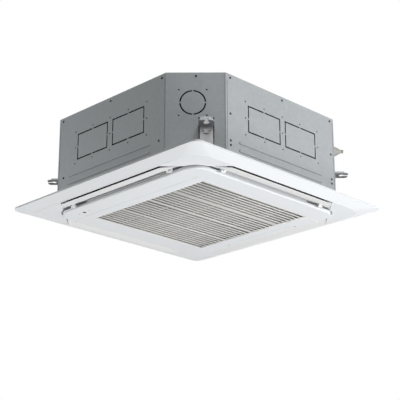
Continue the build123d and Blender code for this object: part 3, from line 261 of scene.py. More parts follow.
class Finish:
    """One material: makes its nodes, and feeds its Principled BSDF."""

    SOCKETS = {"colour": "Base Color", "rough": "Roughness", "metal": "Metallic", "normal": "Normal",
               "gloss": "Specular IOR Level"}

    def __init__(self, name):
        self.material = bpy.data.materials.new(name)
        self.material.use_nodes = True
        self.tree = self.material.node_tree
        self.shader = next(n for n in self.tree.nodes if n.type == "BSDF_PRINCIPLED")
        self.place = self.node("ShaderNodeTexCoord", output="Object")

    def node(self, kind, settings=None, values=None, output=0):
        """Adds a node; a Value is linked to its input and anything else is set there."""
        made = self.tree.nodes.new(kind)
        for key, value in (settings or {}).items():
            setattr(made, key, value)
        for key, value in (values or {}).items():
            self.put(value, made.inputs[key])
        return Value(self, made.outputs[output])

    def put(self, value, socket):
        if isinstance(value, Value):
            self.tree.links.new(value.socket, socket)
        else:
            socket.default_value = value

    def noise(self, scale, detail=2.0, rough=0.5, place=None):
        values = {"Vector": place or self.place, "Scale": scale, "Detail": detail, "Roughness": rough}
        return self.node("ShaderNodeTexNoise", {}, values, output="Fac")

    def cells(self, scale, feature="F1", output="Distance"):
        values = {"Vector": self.place, "Scale": scale}
        return self.node("ShaderNodeTexVoronoi", {"feature": feature}, values, output=output)

    def stretched(self, scale):
        return self.node("ShaderNodeMapping", {}, {"Vector": self.place, "Scale": scale}, output="Vector")

    def blend(self, factor, first, second):
        """Colour mix of two colours by a factor."""
        values = {"Factor": factor, 6: self.rgba(first), 7: self.rgba(second)}
        return self.node("ShaderNodeMix", {"data_type": "RGBA"}, values, output=2)

    @staticmethod
    def rgba(colour):
        return (*colour, 1.0) if isinstance(colour, tuple) else colour

    def bump(self, height, distance, strength=1.0):
        values = {"Height": height, "Distance": distance, "Strength": strength}
        return self.node("ShaderNodeBump", {}, values, output="Normal")

    def feed(self, **inputs):
        """Puts the given numbers, colours or Values into the shader; gives back the material."""
        for key, value in inputs.items():
            self.put(self.rgba(value), self.shader.inputs[self.SOCKETS[key]])
        return self.material


def shaded(colour, share):
    """A colour made darker or lighter by a share, and no lighter than white."""
    return tuple(min(1.0, c * share) for c in colour)


def galvanised_sheet(name, colour, metal):
    """Zinc-coated sheet: crystals of slightly different grey and gloss, faint rolling lines and smudges."""
    f = Finish(name)
    spangle = 85.0
    crystal = f.cells(spangle, output="Color")
    tone = f.node("ShaderNodeSeparateColor", {}, {"Color": crystal}, output=0)
    lines = f.noise(9.0, 3.0, place=f.stretched((1.0, 1.0, 14.0)))
    smudge = f.noise(3.2, 3.0, 0.55)
    shade = (tone - 0.5) * 0.16 + (lines - 0.5) * 0.10 + (smudge - 0.5) * 0.22 + 0.5
    return f.feed(colour=f.blend(shade.clamped(), shaded(colour, 0.74), shaded(colour, 1.22)), metal=metal,
                  rough=0.36 + tone * 0.14 + smudge * 0.10,
                  normal=f.bump(f.cells(spangle) * 0.5 + f.noise(900.0) * 0.3, 0.00004))


def moulded_plastic(name, colour, rough=0.42, grain=1500.0, depth=0.00002, tint=0.012, gloss=0.45):
    """Injection-moulded plastic: fine spark-eroded grain, a very slight mottle and slow waves of gloss."""
    f = Finish(name)
    mottle = f.noise(6.0)
    low = tuple(max(0.0, c - tint) for c in colour)
    return f.feed(colour=f.blend(mottle, low, colour), rough=rough - 0.05 + f.noise(11.0, 3.0) * 0.10,
                  normal=f.bump(f.noise(grain, 1.0), depth), gloss=gloss)


def bead_foam(name, colour):
    """Expanded foam: rounded beads pressed together, with painted shade in the gaps between them, dull."""
    f = Finish(name)
    bead = 240.0
    # painted shade: the colour darkens towards the gaps between the beads
    gap = f.cells(bead, feature="DISTANCE_TO_EDGE") * 9.0
    return f.feed(colour=f.blend(gap.clamped(), shaded(colour, 0.72), colour),
                  rough=0.82 + f.noise(bead) * 0.1, normal=f.bump(f.cells(bead) * -1.0, 0.0008, 0.6),
                  gloss=0.1)


def bare_metal(name, colour, rough=0.3, metal=1.0, stain=None):
    """Plain metal: fine scratches, and slow patches of oxide where it stains."""
    f = Finish(name)
    scratch = f.noise(420.0)
    patch = f.noise(18.0, 4.0, 0.6)
    stained = ((patch - 0.42) * 4.0).clamped()
    return f.feed(colour=f.blend(stained, colour, stain or shaded(colour, 0.8)), metal=metal,
                  rough=rough - 0.08 + scratch * 0.12 + patch * 0.10, normal=f.bump(scratch, 0.00002))


def fin_stock(name, colour):
    """Thin aluminium fin: a slow change of shade and fine ripples."""
    f = Finish(name)
    return f.feed(colour=f.blend(f.noise(30.0), shaded(colour, 0.86), colour), metal=0.85,
                  rough=0.34 + f.noise(200.0) * 0.14, normal=f.bump(f.noise(350.0), 0.00003))


def soft_rubber(name, colour):
    """Rubber: matt, with a bloom of lighter dust."""
    f = Finish(name)
    bloom = ((f.noise(26.0, 3.0) - 0.5) * 1.6 + 0.3).clamped()
    dusty = tuple(c * 1.35 + 0.02 for c in colour)
    return f.feed(colour=f.blend(bloom, colour, dusty), rough=0.62 + f.noise(60.0) * 0.18,
                  normal=f.bump(f.noise(700.0), 0.00005))


def printed_board(name):
    """Circuit board: green lacquer over lighter copper areas cut by narrow gaps, with solder dots."""
    f = Finish(name)
    lacquer, lacquered_copper, solder = (0.012, 0.085, 0.035), (0.03, 0.19, 0.085), (0.62, 0.63, 0.60)
    tracks = ((f.cells(140.0, feature="DISTANCE_TO_EDGE") - 0.06) * 30.0).clamped()
    dots = ((0.11 - f.cells(95.0)) * 40.0).clamped()
    return f.feed(colour=f.blend(dots, f.blend(tracks, lacquer, lacquered_copper), solder), metal=dots * 0.8,
                  rough=0.36 - dots * 0.1, normal=f.bump(tracks, 0.00004))


def plastic_thread(name, colour):
    """Thin plastic thread: a slow change of shade along it and a very fine grain."""
    f = Finish(name)
    return f.feed(colour=f.blend(f.noise(90.0), shaded(colour, 0.8), colour),
                  rough=0.5 + f.noise(400.0) * 0.15, normal=f.bump(f.noise(2000.0), 0.00002))


# ---- which solid wears which finish --------------------------------------------------------------
FINISHES = {}
WORN_BY = {
    "galvanised sheet": """top_plate side_plate_right side_plate_back side_plate_left side_plate_front
        corner_plate_back_right corner_plate_back_left corner_plate_front_left corner_plate_front_right
        pipe_plate pump_bracket motor_hanger coil_end_plates control_box control_box_cover""",
    "bracket sheet": "hanger_brackets",
    "screw steel": "fan_nut fan_shaft hinge_pins panel_screws",
    "dark screw": "casing_screws",
    # black foam lining: partly the lining's own colour, partly painted shade seen through the casing's slits
    # and the vane slots
    "black foam and painted shade": "foam_liner panel_foam",
    "white foam": "drain_pan",
    "fin stock": "coil_fins",
    "copper": "coil_return_bends gas_pipe liquid_pipe",
    "union brass": "flare_unions",
    "panel plastic": "panel_frame vane_motors vane_bearings hinge_brackets latch_keepers",
    "vane plastic": "vane_right vane_back vane_left vane_front",
    "grille plastic": "intake_grille latch_front latch_back",
    "louvre plastic": "grille_louvre",
    "grey plastic": "fan_impeller bell_mouth float_switch float drain_pump",
    "black plastic": "terminal_block receiver_window",
    "net thread": "filter_net filter_frame",
    "hose plastic": "drain_hose",
    "nozzle plastic": "drain_nozzle",
    "rubber": "cable_grommet motor_rubber_mounts",
    "motor paint": "fan_motor",
    "board": "circuit_board display_board",
}


# ---- what a user may change ----------------------------------------------------------------------
class CassetteFinishes(bpy.types.PropertyGroup):
    """Colours of the main finishes."""

    sheet_colour: bpy.props.FloatVectorProperty(
        name="Sheet", description="Colour of the galvanised casing", subtype="COLOR", size=3,
        default=(0.43, 0.455, 0.47), min=0, max=1)
    sheet_metal: bpy.props.FloatProperty(
        name="Sheet metal", description="How metallic the galvanised sheet looks", default=0.18,
        min=0, max=1, subtype="FACTOR")
    panel_colour: bpy.props.FloatVectorProperty(
        name="Panel", description="Colour of the ceiling panel", subtype="COLOR", size=3,
        default=(0.84, 0.86, 0.88), min=0, max=1)
    vane_colour: bpy.props.FloatVectorProperty(
        name="Vanes", description="Colour of the air vanes", subtype="COLOR", size=3,
        default=(0.86, 0.86, 0.855), min=0, max=1)
    louvre_colour: bpy.props.FloatVectorProperty(
        name="Louvre", description="Colour of the grille's fine bars", subtype="COLOR", size=3,
        default=(0.81, 0.80, 0.78), min=0, max=1)


class CassetteSizes(bpy.types.PropertyGroup):
    """Sizes of the fine pieces."""

    louvre_pitch: bpy.props.FloatProperty(
        name="Louvre pitch", description="Distance from bar to bar of the grille", default=19.0 * MM,
        min=0.004, max=0.03, unit="LENGTH")
    louvre_bar: bpy.props.FloatProperty(
        name="Louvre bar", description="Width of one bar of the grille", default=7.5 * MM,
        min=0.001, max=0.012, unit="LENGTH")
    fin_pitch: bpy.props.FloatProperty(
        name="Fin pitch", description="Distance from fin to fin of the coil", default=2.4 * MM,
        min=0.001, max=0.01, unit="LENGTH")
    net_pitch: bpy.props.FloatProperty(
        name="Net pitch", description="Mesh width of the filter net", default=1.6 * MM,
        min=0.001, max=0.02, unit="LENGTH")
    hose_rib: bpy.props.FloatProperty(
        name="Hose rib", description="Distance from rib to rib of the drain hose", default=5.5 * MM,
        min=0.002, max=0.02, unit="LENGTH")


# ---- finishes ------------------------------------------------------------------------------------
class CASSETTE_OT_finishes(bpy.types.Operator):
    """Make every finish and give each solid its own"""

    bl_idname = "cassette.finishes"
    bl_label = "Finishes"

    def execute(self, context):
        chosen = context.scene.cassette_finishes
        sheet, panel = tuple(chosen.sheet_colour), tuple(chosen.panel_colour)
        vane, louvre = tuple(chosen.vane_colour), tuple(chosen.louvre_colour)
        steel, black = (0.42, 0.43, 0.44), (0.02, 0.02, 0.022)
        FINISHES.update({
            "galvanised sheet": galvanised_sheet("galvanised_sheet", sheet, chosen.sheet_metal),
            "bracket sheet": galvanised_sheet("bracket_sheet", steel, 0.8),
            "screw steel": bare_metal("screw_steel", steel, 0.34),
            "dark screw": bare_metal("dark_screw", (0.045, 0.046, 0.05), 0.42, metal=0.4),
            # the lining's black is partly its own colour and partly painted shade behind the slits and slots
            "black foam and painted shade": bead_foam("black_foam_and_painted_shade", black),
            "white foam": bead_foam("white_foam", (0.84, 0.85, 0.85)),
            "fin stock": fin_stock("fin_stock", (0.70, 0.71, 0.70)),
            "copper": bare_metal("copper", (0.80, 0.42, 0.28), 0.30, stain=(0.50, 0.25, 0.16)),
            "union brass": bare_metal("union_brass", (0.78, 0.62, 0.30), 0.26, stain=(0.58, 0.44, 0.20)),
            "panel plastic": moulded_plastic("panel_plastic", panel),
            "vane plastic": moulded_plastic("vane_plastic", vane, rough=0.34),
            "grille plastic": moulded_plastic("grille_plastic", panel, rough=0.44),
            "louvre plastic": moulded_plastic("louvre_plastic", louvre, rough=0.5),
            "grey plastic": moulded_plastic("grey_plastic", (0.23, 0.235, 0.24), rough=0.5, tint=0.02),
            "black plastic": moulded_plastic("black_plastic", black, rough=0.4, tint=0.008, gloss=0.1),
            "net thread": plastic_thread("net_thread", (0.52, 0.51, 0.49)),
            "hose plastic": moulded_plastic("hose_plastic", (0.74, 0.73, 0.69), rough=0.55, tint=0.03),
            "nozzle plastic": moulded_plastic("nozzle_plastic", (0.50, 0.485, 0.45), rough=0.5, tint=0.03),
            "rubber": soft_rubber("rubber", (0.03, 0.03, 0.031)),
            "motor paint": moulded_plastic("motor_paint", (0.055, 0.06, 0.065), rough=0.45, grain=500.0,
                                           depth=0.00006),
            "board": printed_board("board"),
        })
        for finish, nodes in WORN_BY.items():
            for node in nodes.split():
                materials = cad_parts[node].data.materials
                materials.clear()
                materials.append(FINISHES[finish])
        return {"FINISHED"}


# ---- grille's louvre -----------------------------------------------------------------------------
LOUVRE_INSET = 4.2                  # from the solid's sides to the middle of the border's flange
RIBS_Y = (-134.0, -3.0, 132.0)
TIES = 4
# Height of each kind of bar, and how high its middle stands over the louvre's outer face.
BLADE_HEIGHT, BLADE_RISE = 1.5, 0.9
RIB_SIZE, RIB_RISE = (4.4, 3.4), 1.8
TIE_SIZE, TIE_RISE = (1.4, 1.6), 2.5
EDGE_SIZE, EDGE_RISE = (6.6, 3.6), 1.8
FLANGE_SIZE, FLANGE_RISE = (11.0, 1.8), 3.6
# How far from a rib's middle, from the border and from the border's ends the bars stop.
RIB_CLEARANCE, BORDER_CLEARANCE = 3.0, 4
BLADE_GAP, RIB_GAP, CORNER_GAP = 3, 2, 1
BLADE_SLACK = 0.5                   # a bar's middle may lie this far outside its field


class CASSETTE_OT_louvre(bpy.types.Operator):
    """Make the grille's fine bars, its ribs and its border"""

    bl_idname = "cassette.louvre"
    bl_label = "Grille louvre"

    def execute(self, context):
        sizes = context.scene.cassette_sizes
        pitch, width = sizes.louvre_pitch / MM, sizes.louvre_bar / MM
        (x0, y0, _), (x1, y1, _) = LOUVRE_LOW + LOUVRE_INSET, LOUVRE_HIGH - LOUVRE_INSET
        z = LOUVRE_LOW[2]
        shapes = bars_along_x(rounded_bar(width, BLADE_HEIGHT), self.blade_places(y0, y1, pitch, width),
                              x0 + BLADE_GAP, x1 - BLADE_GAP, z + BLADE_RISE)
        shapes += bars_along_x(rounded_bar(*RIB_SIZE), RIBS_Y, x0 + RIB_GAP, x1 - RIB_GAP, z + RIB_RISE)
        shapes += bars_along_y(rounded_bar(*TIE_SIZE), np.linspace(x0, x1, TIES + 2)[1:-1],
                               y0 + RIB_GAP, y1 - RIB_GAP, z + TIE_RISE)
        edge, flange = rounded_bar(*EDGE_SIZE), rounded_bar(*FLANGE_SIZE)
        left, right, front, back = x0 + CORNER_GAP, x1 - CORNER_GAP, y0 + CORNER_GAP, y1 - CORNER_GAP
        corners = [(left, front), (right, front), (right, back), (left, back)]
        for start, end in zip(corners, corners[1:] + corners[:1]):
            shapes.append(bar(edge, (*start, z + EDGE_RISE), (*end, z + EDGE_RISE)))
            shapes.append(bar(flange, (*start, z + FLANGE_RISE), (*end, z + FLANGE_RISE)))
        make_piece("louvre_bars", joined(shapes), FINISHES["louvre plastic"], "grille", ["grille_louvre"])
        return {"FINISHED"}

    @staticmethod
    def blade_places(low, high, pitch, width):
        """Places of the fine bars: as many as fit in each field between ribs and border, about its middle."""
        limits = [low + BORDER_CLEARANCE, *[y + s * RIB_CLEARANCE for y in RIBS_Y for s in (-1, 1)],
                  high - BORDER_CLEARANCE]
        places = []
        for first, last in zip(limits[0::2], limits[1::2]):
            count = int((last - first + width) / pitch)
            for k in range(count + 1):
                y = (first + last) / 2 + (k - count / 2) * pitch
                if first - BLADE_SLACK < y < last + BLADE_SLACK:
                    places.append(y)
        return places


# ---- coil's fins ---------------------------------------------------------------------------------
FIN_DEPTH = 43.2
FIN_THICKNESS = 0.18
FIN_RIPPLE = np.array([0.0, 0.45, 0.0, 0.45, 0.0])
FIN_INSET = 0.4                     # from the solid's faces to the fins
FIN_BEND = 60.0                     # radius of the coil's rounded corners
OPEN_CORNER = 208                   # the coil is open where both x and y are beyond this


class CASSETTE_OT_coil(bpy.types.Operator):
    """Make the coil's thin fins"""

    bl_idname = "cassette.coil"
    bl_label = "Coil fins"

    def execute(self, context):
        """A fin's point is its place on the ring, less depth times outward, plus ripple along the ring."""
        pitch = context.scene.cassette_sizes.fin_pitch / MM
        at, out = ring_path(FINS_HIGH[0] - FIN_INSET, FIN_BEND, pitch)
        kept = ~((at[:, 0] > OPEN_CORNER) & (at[:, 1] > OPEN_CORNER))
        at, out = at[kept], out[kept]
        along = np.stack([-out[:, 1], out[:, 0]], axis=1)
        depth = np.linspace(0, FIN_DEPTH, len(FIN_RIPPLE))
        points_each = 2 * len(depth)
        skins = []
        for side in (-FIN_THICKNESS / 2, FIN_THICKNESS / 2):
            points = np.empty((len(at), len(depth), 2, 3))
            points[..., :2] = (at[:, None, :] - out[:, None, :] * depth[None, :, None]
                               + along[:, None, :] * (FIN_RIPPLE + side)[None, :, None])[:, :, None, :]
            points[..., 2] = FINS_LOW[2] + FIN_INSET, FINS_HIGH[2] - FIN_INSET
            faces = faces_of_copies(grid_faces(len(depth), 2), len(at), points_each)
            skins.append((points.reshape(-1, 3), faces[:, ::-1] if side < 0 else faces))
        points, faces = joined(skins)
        numbers = np.arange(points_each).reshape(-1, 2)
        rim = np.concatenate([numbers[:, 0], numbers[::-1, 1]])
        follow = np.roll(rim, -1)
        other_skin = len(points) // 2
        strip = np.stack([rim, follow, follow + other_skin, rim + other_skin], axis=1)
        edges = faces_of_copies(strip, len(at), points_each)
        make_piece("fin_pack", (points, np.concatenate([faces, edges])), FINISHES["fin stock"], "cassette",
                   ["coil_fins"], smooth=False)
        return {"FINISHED"}


# ---- filter's net --------------------------------------------------------------------------------
THREAD_SIZE = (0.6, 0.28)
THREAD_LIFT = 0.1                   # the threads along y pass over the middle, those along x under it
NET_INSET = 0.5                     # from the solid's sides to the threads' ends


class CASSETTE_OT_filter(bpy.types.Operator):
    """Make the filter's net of crossing threads"""

    bl_idname = "cassette.filter"
    bl_label = "Filter net"

    def execute(self, context):
        pitch = context.scene.cassette_sizes.net_pitch / MM
        (x0, y0, _), (x1, y1, _) = NET_LOW + NET_INSET, NET_HIGH - NET_INSET
        z = (NET_LOW[2] + NET_HIGH[2]) / 2
        thread = rounded_bar(*THREAD_SIZE, steps=1)
        shapes = bars_along_y(thread, np.arange(x0, x1, pitch), y0, y1, z + THREAD_LIFT)
        shapes += bars_along_x(thread, np.arange(y0, y1, pitch), x0, x1, z - THREAD_LIFT)
        make_piece("filter_threads", joined(shapes), FINISHES["net thread"], "grille", ["filter_net"],
                   smooth=False)
        return {"FINISHED"}


# ---- casing's screws -----------------------------------------------------------------------------
HEAD_RINGS = np.array([0.0, 0.7, 1.3, 2.0, 2.6, 3.2, 3.7, 4.0, 4.0])
HEAD_STEPS = 24
DOME_RISE, DOME_REACH, DOME_SINK = 2.2, 4.8, 0.1
CROSS_DEPTH, CROSS_HALF, CROSS_REACH = 1.1, 0.75, 2.6
CROSS_FLANK, CROSS_RUN_OUT = 0.35, 0.6
SHANK = np.array([[2.0, 0.0], [2.0, -8.0], [0.0, -8.0]])
SHANK_STEPS = 10
BRACKET_SHEET = 2.5                 # the brackets' screws sit on their sheet
BRACKET_ASIDE = 33.9                # from a corner plate's middle to its bracket's
# Which way along its corner plate each bracket stands, by the plate's direction in degrees.
BRACKET_HAND = {45: 1, 135: -1, 225: 1, 315: -1}
# Places of screws: sideways from the middle, and height.
LID_SCREWS = [(-260, 293), (0, 293), (260, 293)]
WALL_SCREWS = LID_SCREWS + [(s * 260, z) for s in (-1, 1) for z in (164, 69, 53)]
LEFT_WALL_SCREWS = LID_SCREWS + [(-248, 72), (248, 72)]
CORNER_SCREWS = [(0, 293)]
BRACKET_SCREWS = [(s * x, z) for s in (-1, 1) for x, z in ((8, 139), (14, 40))]
LEFT_WALL = 180


class CASSETTE_OT_screws(bpy.types.Operator):
    """Make the sheet screws of the casing with a cross in each head"""

    bl_idname = "cassette.screws"
    bl_label = "Casing screws"

    def execute(self, context):
        points, faces = joined([self.head(), inside_out(turned(SHANK, SHANK_STEPS))])
        for name, finish, on_brackets, replaced in (
                ("casing_screw_heads", "dark screw", False, ["casing_screws"]),
                ("bracket_screw_heads", "screw steel", True, [])):
            shapes = [(seat + points @ np.array([along, UP, np.cross(along, UP)]), faces)
                      for along, seat in screw_places(on_brackets)]
            make_piece(name, joined(shapes), FINISHES[finish], "cassette", replaced)
        return {"FINISHED"}

    @staticmethod
    def head():
        """Screw head: at radius r the height is rise·sqrt(1 - (r/reach)²) less the sink, less the cross.

        The cross fades by smooth steps over its flank, by the distance to the nearer of its two middle lines,
        and over its run-out, by r. The last ring stands at height 0, so the head's rim is upright."""
        angle = np.linspace(0, 2 * np.pi, HEAD_STEPS, endpoint=False)
        r, a = (g.ravel() for g in np.meshgrid(HEAD_RINGS, angle, indexing="ij"))
        dome = DOME_RISE * np.sqrt(np.clip(1 - (r / DOME_REACH) ** 2, 0, 1)) - DOME_SINK
        aside = np.minimum(np.abs(r * np.sin(a)), np.abs(r * np.cos(a)))
        cross = (smooth_step((CROSS_HALF - aside) / CROSS_FLANK)
                 * smooth_step((CROSS_REACH - r) / CROSS_RUN_OUT))
        height = dome - CROSS_DEPTH * cross
        height[-HEAD_STEPS:] = 0.0
        points = np.stack([r * np.cos(a), r * np.sin(a), height], axis=1)
        return points, grid_faces(len(HEAD_RINGS), HEAD_STEPS, close_columns=True)


def screw_places(on_brackets):
    """Direction along the plate and seat of each screw: of the casing's screws, or of its brackets'."""
    for angle in range(0, 360, 45):
        out = np.array([math.cos(math.radians(angle)), math.sin(math.radians(angle)), 0])
        along = np.array([-out[1], out[0], 0])
        hand = BRACKET_HAND.get(angle)
        if on_brackets:
            middle = hand * BRACKET_ASIDE if hand else 0
            spots, distance = [(middle + x, z) for x, z in BRACKET_SCREWS if hand], CORNER + BRACKET_SHEET
        elif hand:
            spots, distance = CORNER_SCREWS, CORNER
        else:
            spots, distance = LEFT_WALL_SCREWS if angle == LEFT_WALL else WALL_SCREWS, WALL
        for x, z in spots:
            yield along, out * distance + along * x + UP * z


# ---- fan's impeller ------------------------------------------------------------------------------
TURN_STEPS = 72
# Section of the hub: its foot, its cone and the back plate's lower side out to the rounded rim, then back
# along the upper side to the boss round the shaft.
HUB = np.array([[6.0, 148.2], [58, 148.2], [62, 149.5], [66, 153], [97, 220], [101, 222.2], [214, 222.2],
                [214.8, 223], [214.8, 224], [214, 224.8], [95, 224.8], [91, 223], [60, 153.5], [57, 151.2],
                [23, 151.2], [21, 153], [21, 159.8], [6.2, 159.8], [6.0, 148.2]])
SHROUD_LOW = 80.2
SHROUD_SKINS = ((166.3, 48.4, 24.9), (168.6, 46.0, 22.6))     # mouth radius, spread and rise of each skin
BLADES = 7
BLADE_INNER, BLADE_CHORD = 118, 94                            # radius of the front edge, and chord
BLADE_SWEEP, BLADE_TWIST = np.radians(38), np.radians(4)
BLADE_BELLY, BLADE_TAIL = 5.44, 0.5
BLADE_LOW, BLADE_TOP = 84, 222.6
STEP_RISE, STEP_START, STEP_RUN = 18, 150, 62                 # how the lower edge follows the shroud


class CASSETTE_OT_fan(bpy.types.Operator):
    """Make the turbo fan with curved, twisted blades of aerofoil section"""

    bl_idname = "cassette.fan"
    bl_label = "Fan impeller"

    def execute(self, context):
        shapes = [inside_out(turned(HUB, TURN_STEPS)), turned(self.shroud(), TURN_STEPS)]
        shapes += [self.blade(2 * np.pi * k / BLADES) for k in range(BLADES)]
        make_piece("turbo_impeller", joined(shapes), FINISHES["grey plastic"], "fan", ["fan_impeller"])
        return {"FINISHED"}

    @staticmethod
    def shroud():
        """Section of the shroud, u from 0 at its mouth to 1 at its rim.

        A skin's radius is its mouth plus spread·u^1.35; its height over the mouth is rise·sin(90°·u)^0.9."""
        u = np.linspace(0, 1, 9)
        outer, inner = (np.stack([mouth + spread * u ** 1.35,
                                  SHROUD_LOW + rise * np.sin(u * np.pi / 2) ** 0.9], axis=1)
                        for mouth, spread, rise in SHROUD_SKINS)
        return np.concatenate([outer, inner[::-1], outer[:1]])

    @staticmethod
    def blade(start):
        """Aerofoil: at u from 0 to 1 the radius has grown by chord·u and the angle by sweep·u^0.85.

        Half its thickness is belly·sqrt(u)·(1 - u)^0.8 plus tail·sin(180°·u). Height h runs from 0 at the
        shroud to 1 at the back plate and turns the section by the twist; a smooth step lifts its foot."""
        u = np.linspace(0, 1, 13)
        loop = np.concatenate([u, u[-2:0:-1]])
        sign = np.concatenate([np.ones(len(u)), -np.ones(len(u) - 2)])
        half = BLADE_BELLY * np.sqrt(loop) * (1 - loop) ** 0.8 + BLADE_TAIL * np.sin(np.pi * loop)
        radius = BLADE_INNER + BLADE_CHORD * loop
        bottom = BLADE_LOW + STEP_RISE * smooth_step((radius - STEP_START) / STEP_RUN)
        levels = np.linspace(0, 1, 5)
        rows = []
        for h in levels:
            angle = start + BLADE_SWEEP * loop ** 0.85 + BLADE_TWIST * (h - 0.5) + sign * half / radius
            rows.append(np.stack([radius * np.cos(angle), radius * np.sin(angle),
                                  bottom + (BLADE_TOP - bottom) * h], axis=1))
        return np.concatenate(rows), grid_faces(len(levels), len(loop), close_columns=True)


# ---- drain hose ----------------------------------------------------------------------------------
HOSE_START = 441.0                  # distance of the pump's outlet from the unit's axis
HOSE_END = CORNER - 14.2
HOSE_FOOT, HOSE_LEVEL = 131.2, 220.0
HOSE_BEND = 24.0
HOSE_STEP = 0.7
HOSE_MEAN, HOSE_WAVE, HOSE_BORE = 9.9, 1.0, 8.1               # radii
HOSE_CUFF = 8                       # length of the plain cuff at each end
HOSE_SIDES = 24
RISE_POINTS, BEND_POINTS, LEVEL_POINTS = 60, 30, 22           # of the three runs of its centre line


class CASSETTE_OT_hose(bpy.types.Operator):
    """Make the ribbed drain hose"""

    bl_idname = "cassette.hose"
    bl_label = "Drain hose"

    def execute(self, context):
        """Radius at length s: the mean plus a cosine wave over each rib, which fades into plain cuffs."""
        rib = context.scene.cassette_sizes.hose_rib / MM
        path, length = self.path()
        s = np.arange(0, length, HOSE_STEP)
        fade = smooth_step(s / HOSE_CUFF) * smooth_step((length - s) / HOSE_CUFF)
        radius = HOSE_MEAN + HOSE_WAVE * fade * np.cos(2 * np.pi * s / rib) + (1 - fade) * HOSE_WAVE
        centres = path(s)
        shell, lining = tube_along(centres, radius, HOSE_SIDES), tube_along(centres, HOSE_BORE, HOSE_SIDES)
        make_piece("ribbed_hose", joined([shell, inside_out(lining)]), FINISHES["hose plastic"], "cassette",
                   ["drain_hose"])
        return {"FINISHED"}

    @staticmethod
    def path():
        """Centre line by length, and its whole length: up, a quarter circle, and level to the nozzle."""
        out = np.array([1, -1, 0]) / math.sqrt(2)
        up = np.linspace(HOSE_FOOT, HOSE_LEVEL - HOSE_BEND, RISE_POINTS)
        turn = np.linspace(0, np.pi / 2, BEND_POINTS)[1:]
        across = np.linspace(HOSE_START + HOSE_BEND, HOSE_END, LEVEL_POINTS)[1:]
        distance = np.concatenate([np.full(len(up), HOSE_START), HOSE_START + HOSE_BEND * (1 - np.cos(turn)),
                                   across])
        height = np.concatenate([up, HOSE_LEVEL - HOSE_BEND + HOSE_BEND * np.sin(turn),
                                 np.full(len(across), HOSE_LEVEL)])
        length = np.concatenate([[0], np.cumsum(np.hypot(np.diff(distance), np.diff(height)))])

        def at(s):
            return out * np.interp(s, length, distance)[:, None] + UP * np.interp(s, length, height)[:, None]

        return at, length[-1]


# ---- stage, in metres and watts ------------------------------------------------------------------
CAMERA_PLACE = (-2.794, -2.818, -1.357)
CAMERA_YAW, CAMERA_PITCH, CAMERA_ROLL = (math.radians(degrees) for degrees in (45.07, 19.29, -0.08))
CAMERA_LENS, CAMERA_SENSOR, CAMERA_REACH = 104.01, 36.0, 50.0
# Each square area lamp: name, place, what it points at, side, power.
LAMPS = (
    ("key_lamp", (2.45, -3.77, -0.6), (0, 0, 0.1), 2.6, 108.0),
    ("low_lamp", (0.3, -1.9, -3.6), (0, 0, 0), 2.8, 138.0),
    ("under_lamp", (-2.2, 2.4, -2.4), (-0.35, 0.3, 0), 1.2, 8.0),
    ("top_lamp", (-1.0, -3.2, 3.4), (0, 0, 0.1), 2.0, 60.0),
    ("left_lamp", (-1.35, 1.15, -0.25), (-0.42, 0.1, 0.1), 0.7, 6.0),
    ("back_lamp", (2.6, 3.6, 2.4), (0, 0, 0.1), 2.6, 40.0),
)
AMBIENT_COLOUR, AMBIENT_STRENGTH = (0.97, 0.985, 1.0, 1), 0.05
WHITE = (1, 1, 1, 1)
FLOOR_HALF, FLOOR_HEIGHT = 20.0, -4.6
FLOOR_GREY = 0.9


def new_nodes(tree, *kinds):
    return [tree.nodes.new("ShaderNode" + kind) for kind in kinds]


def link_all(tree, *pairs):
    for output, socket in pairs:
        tree.links.new(output, socket)


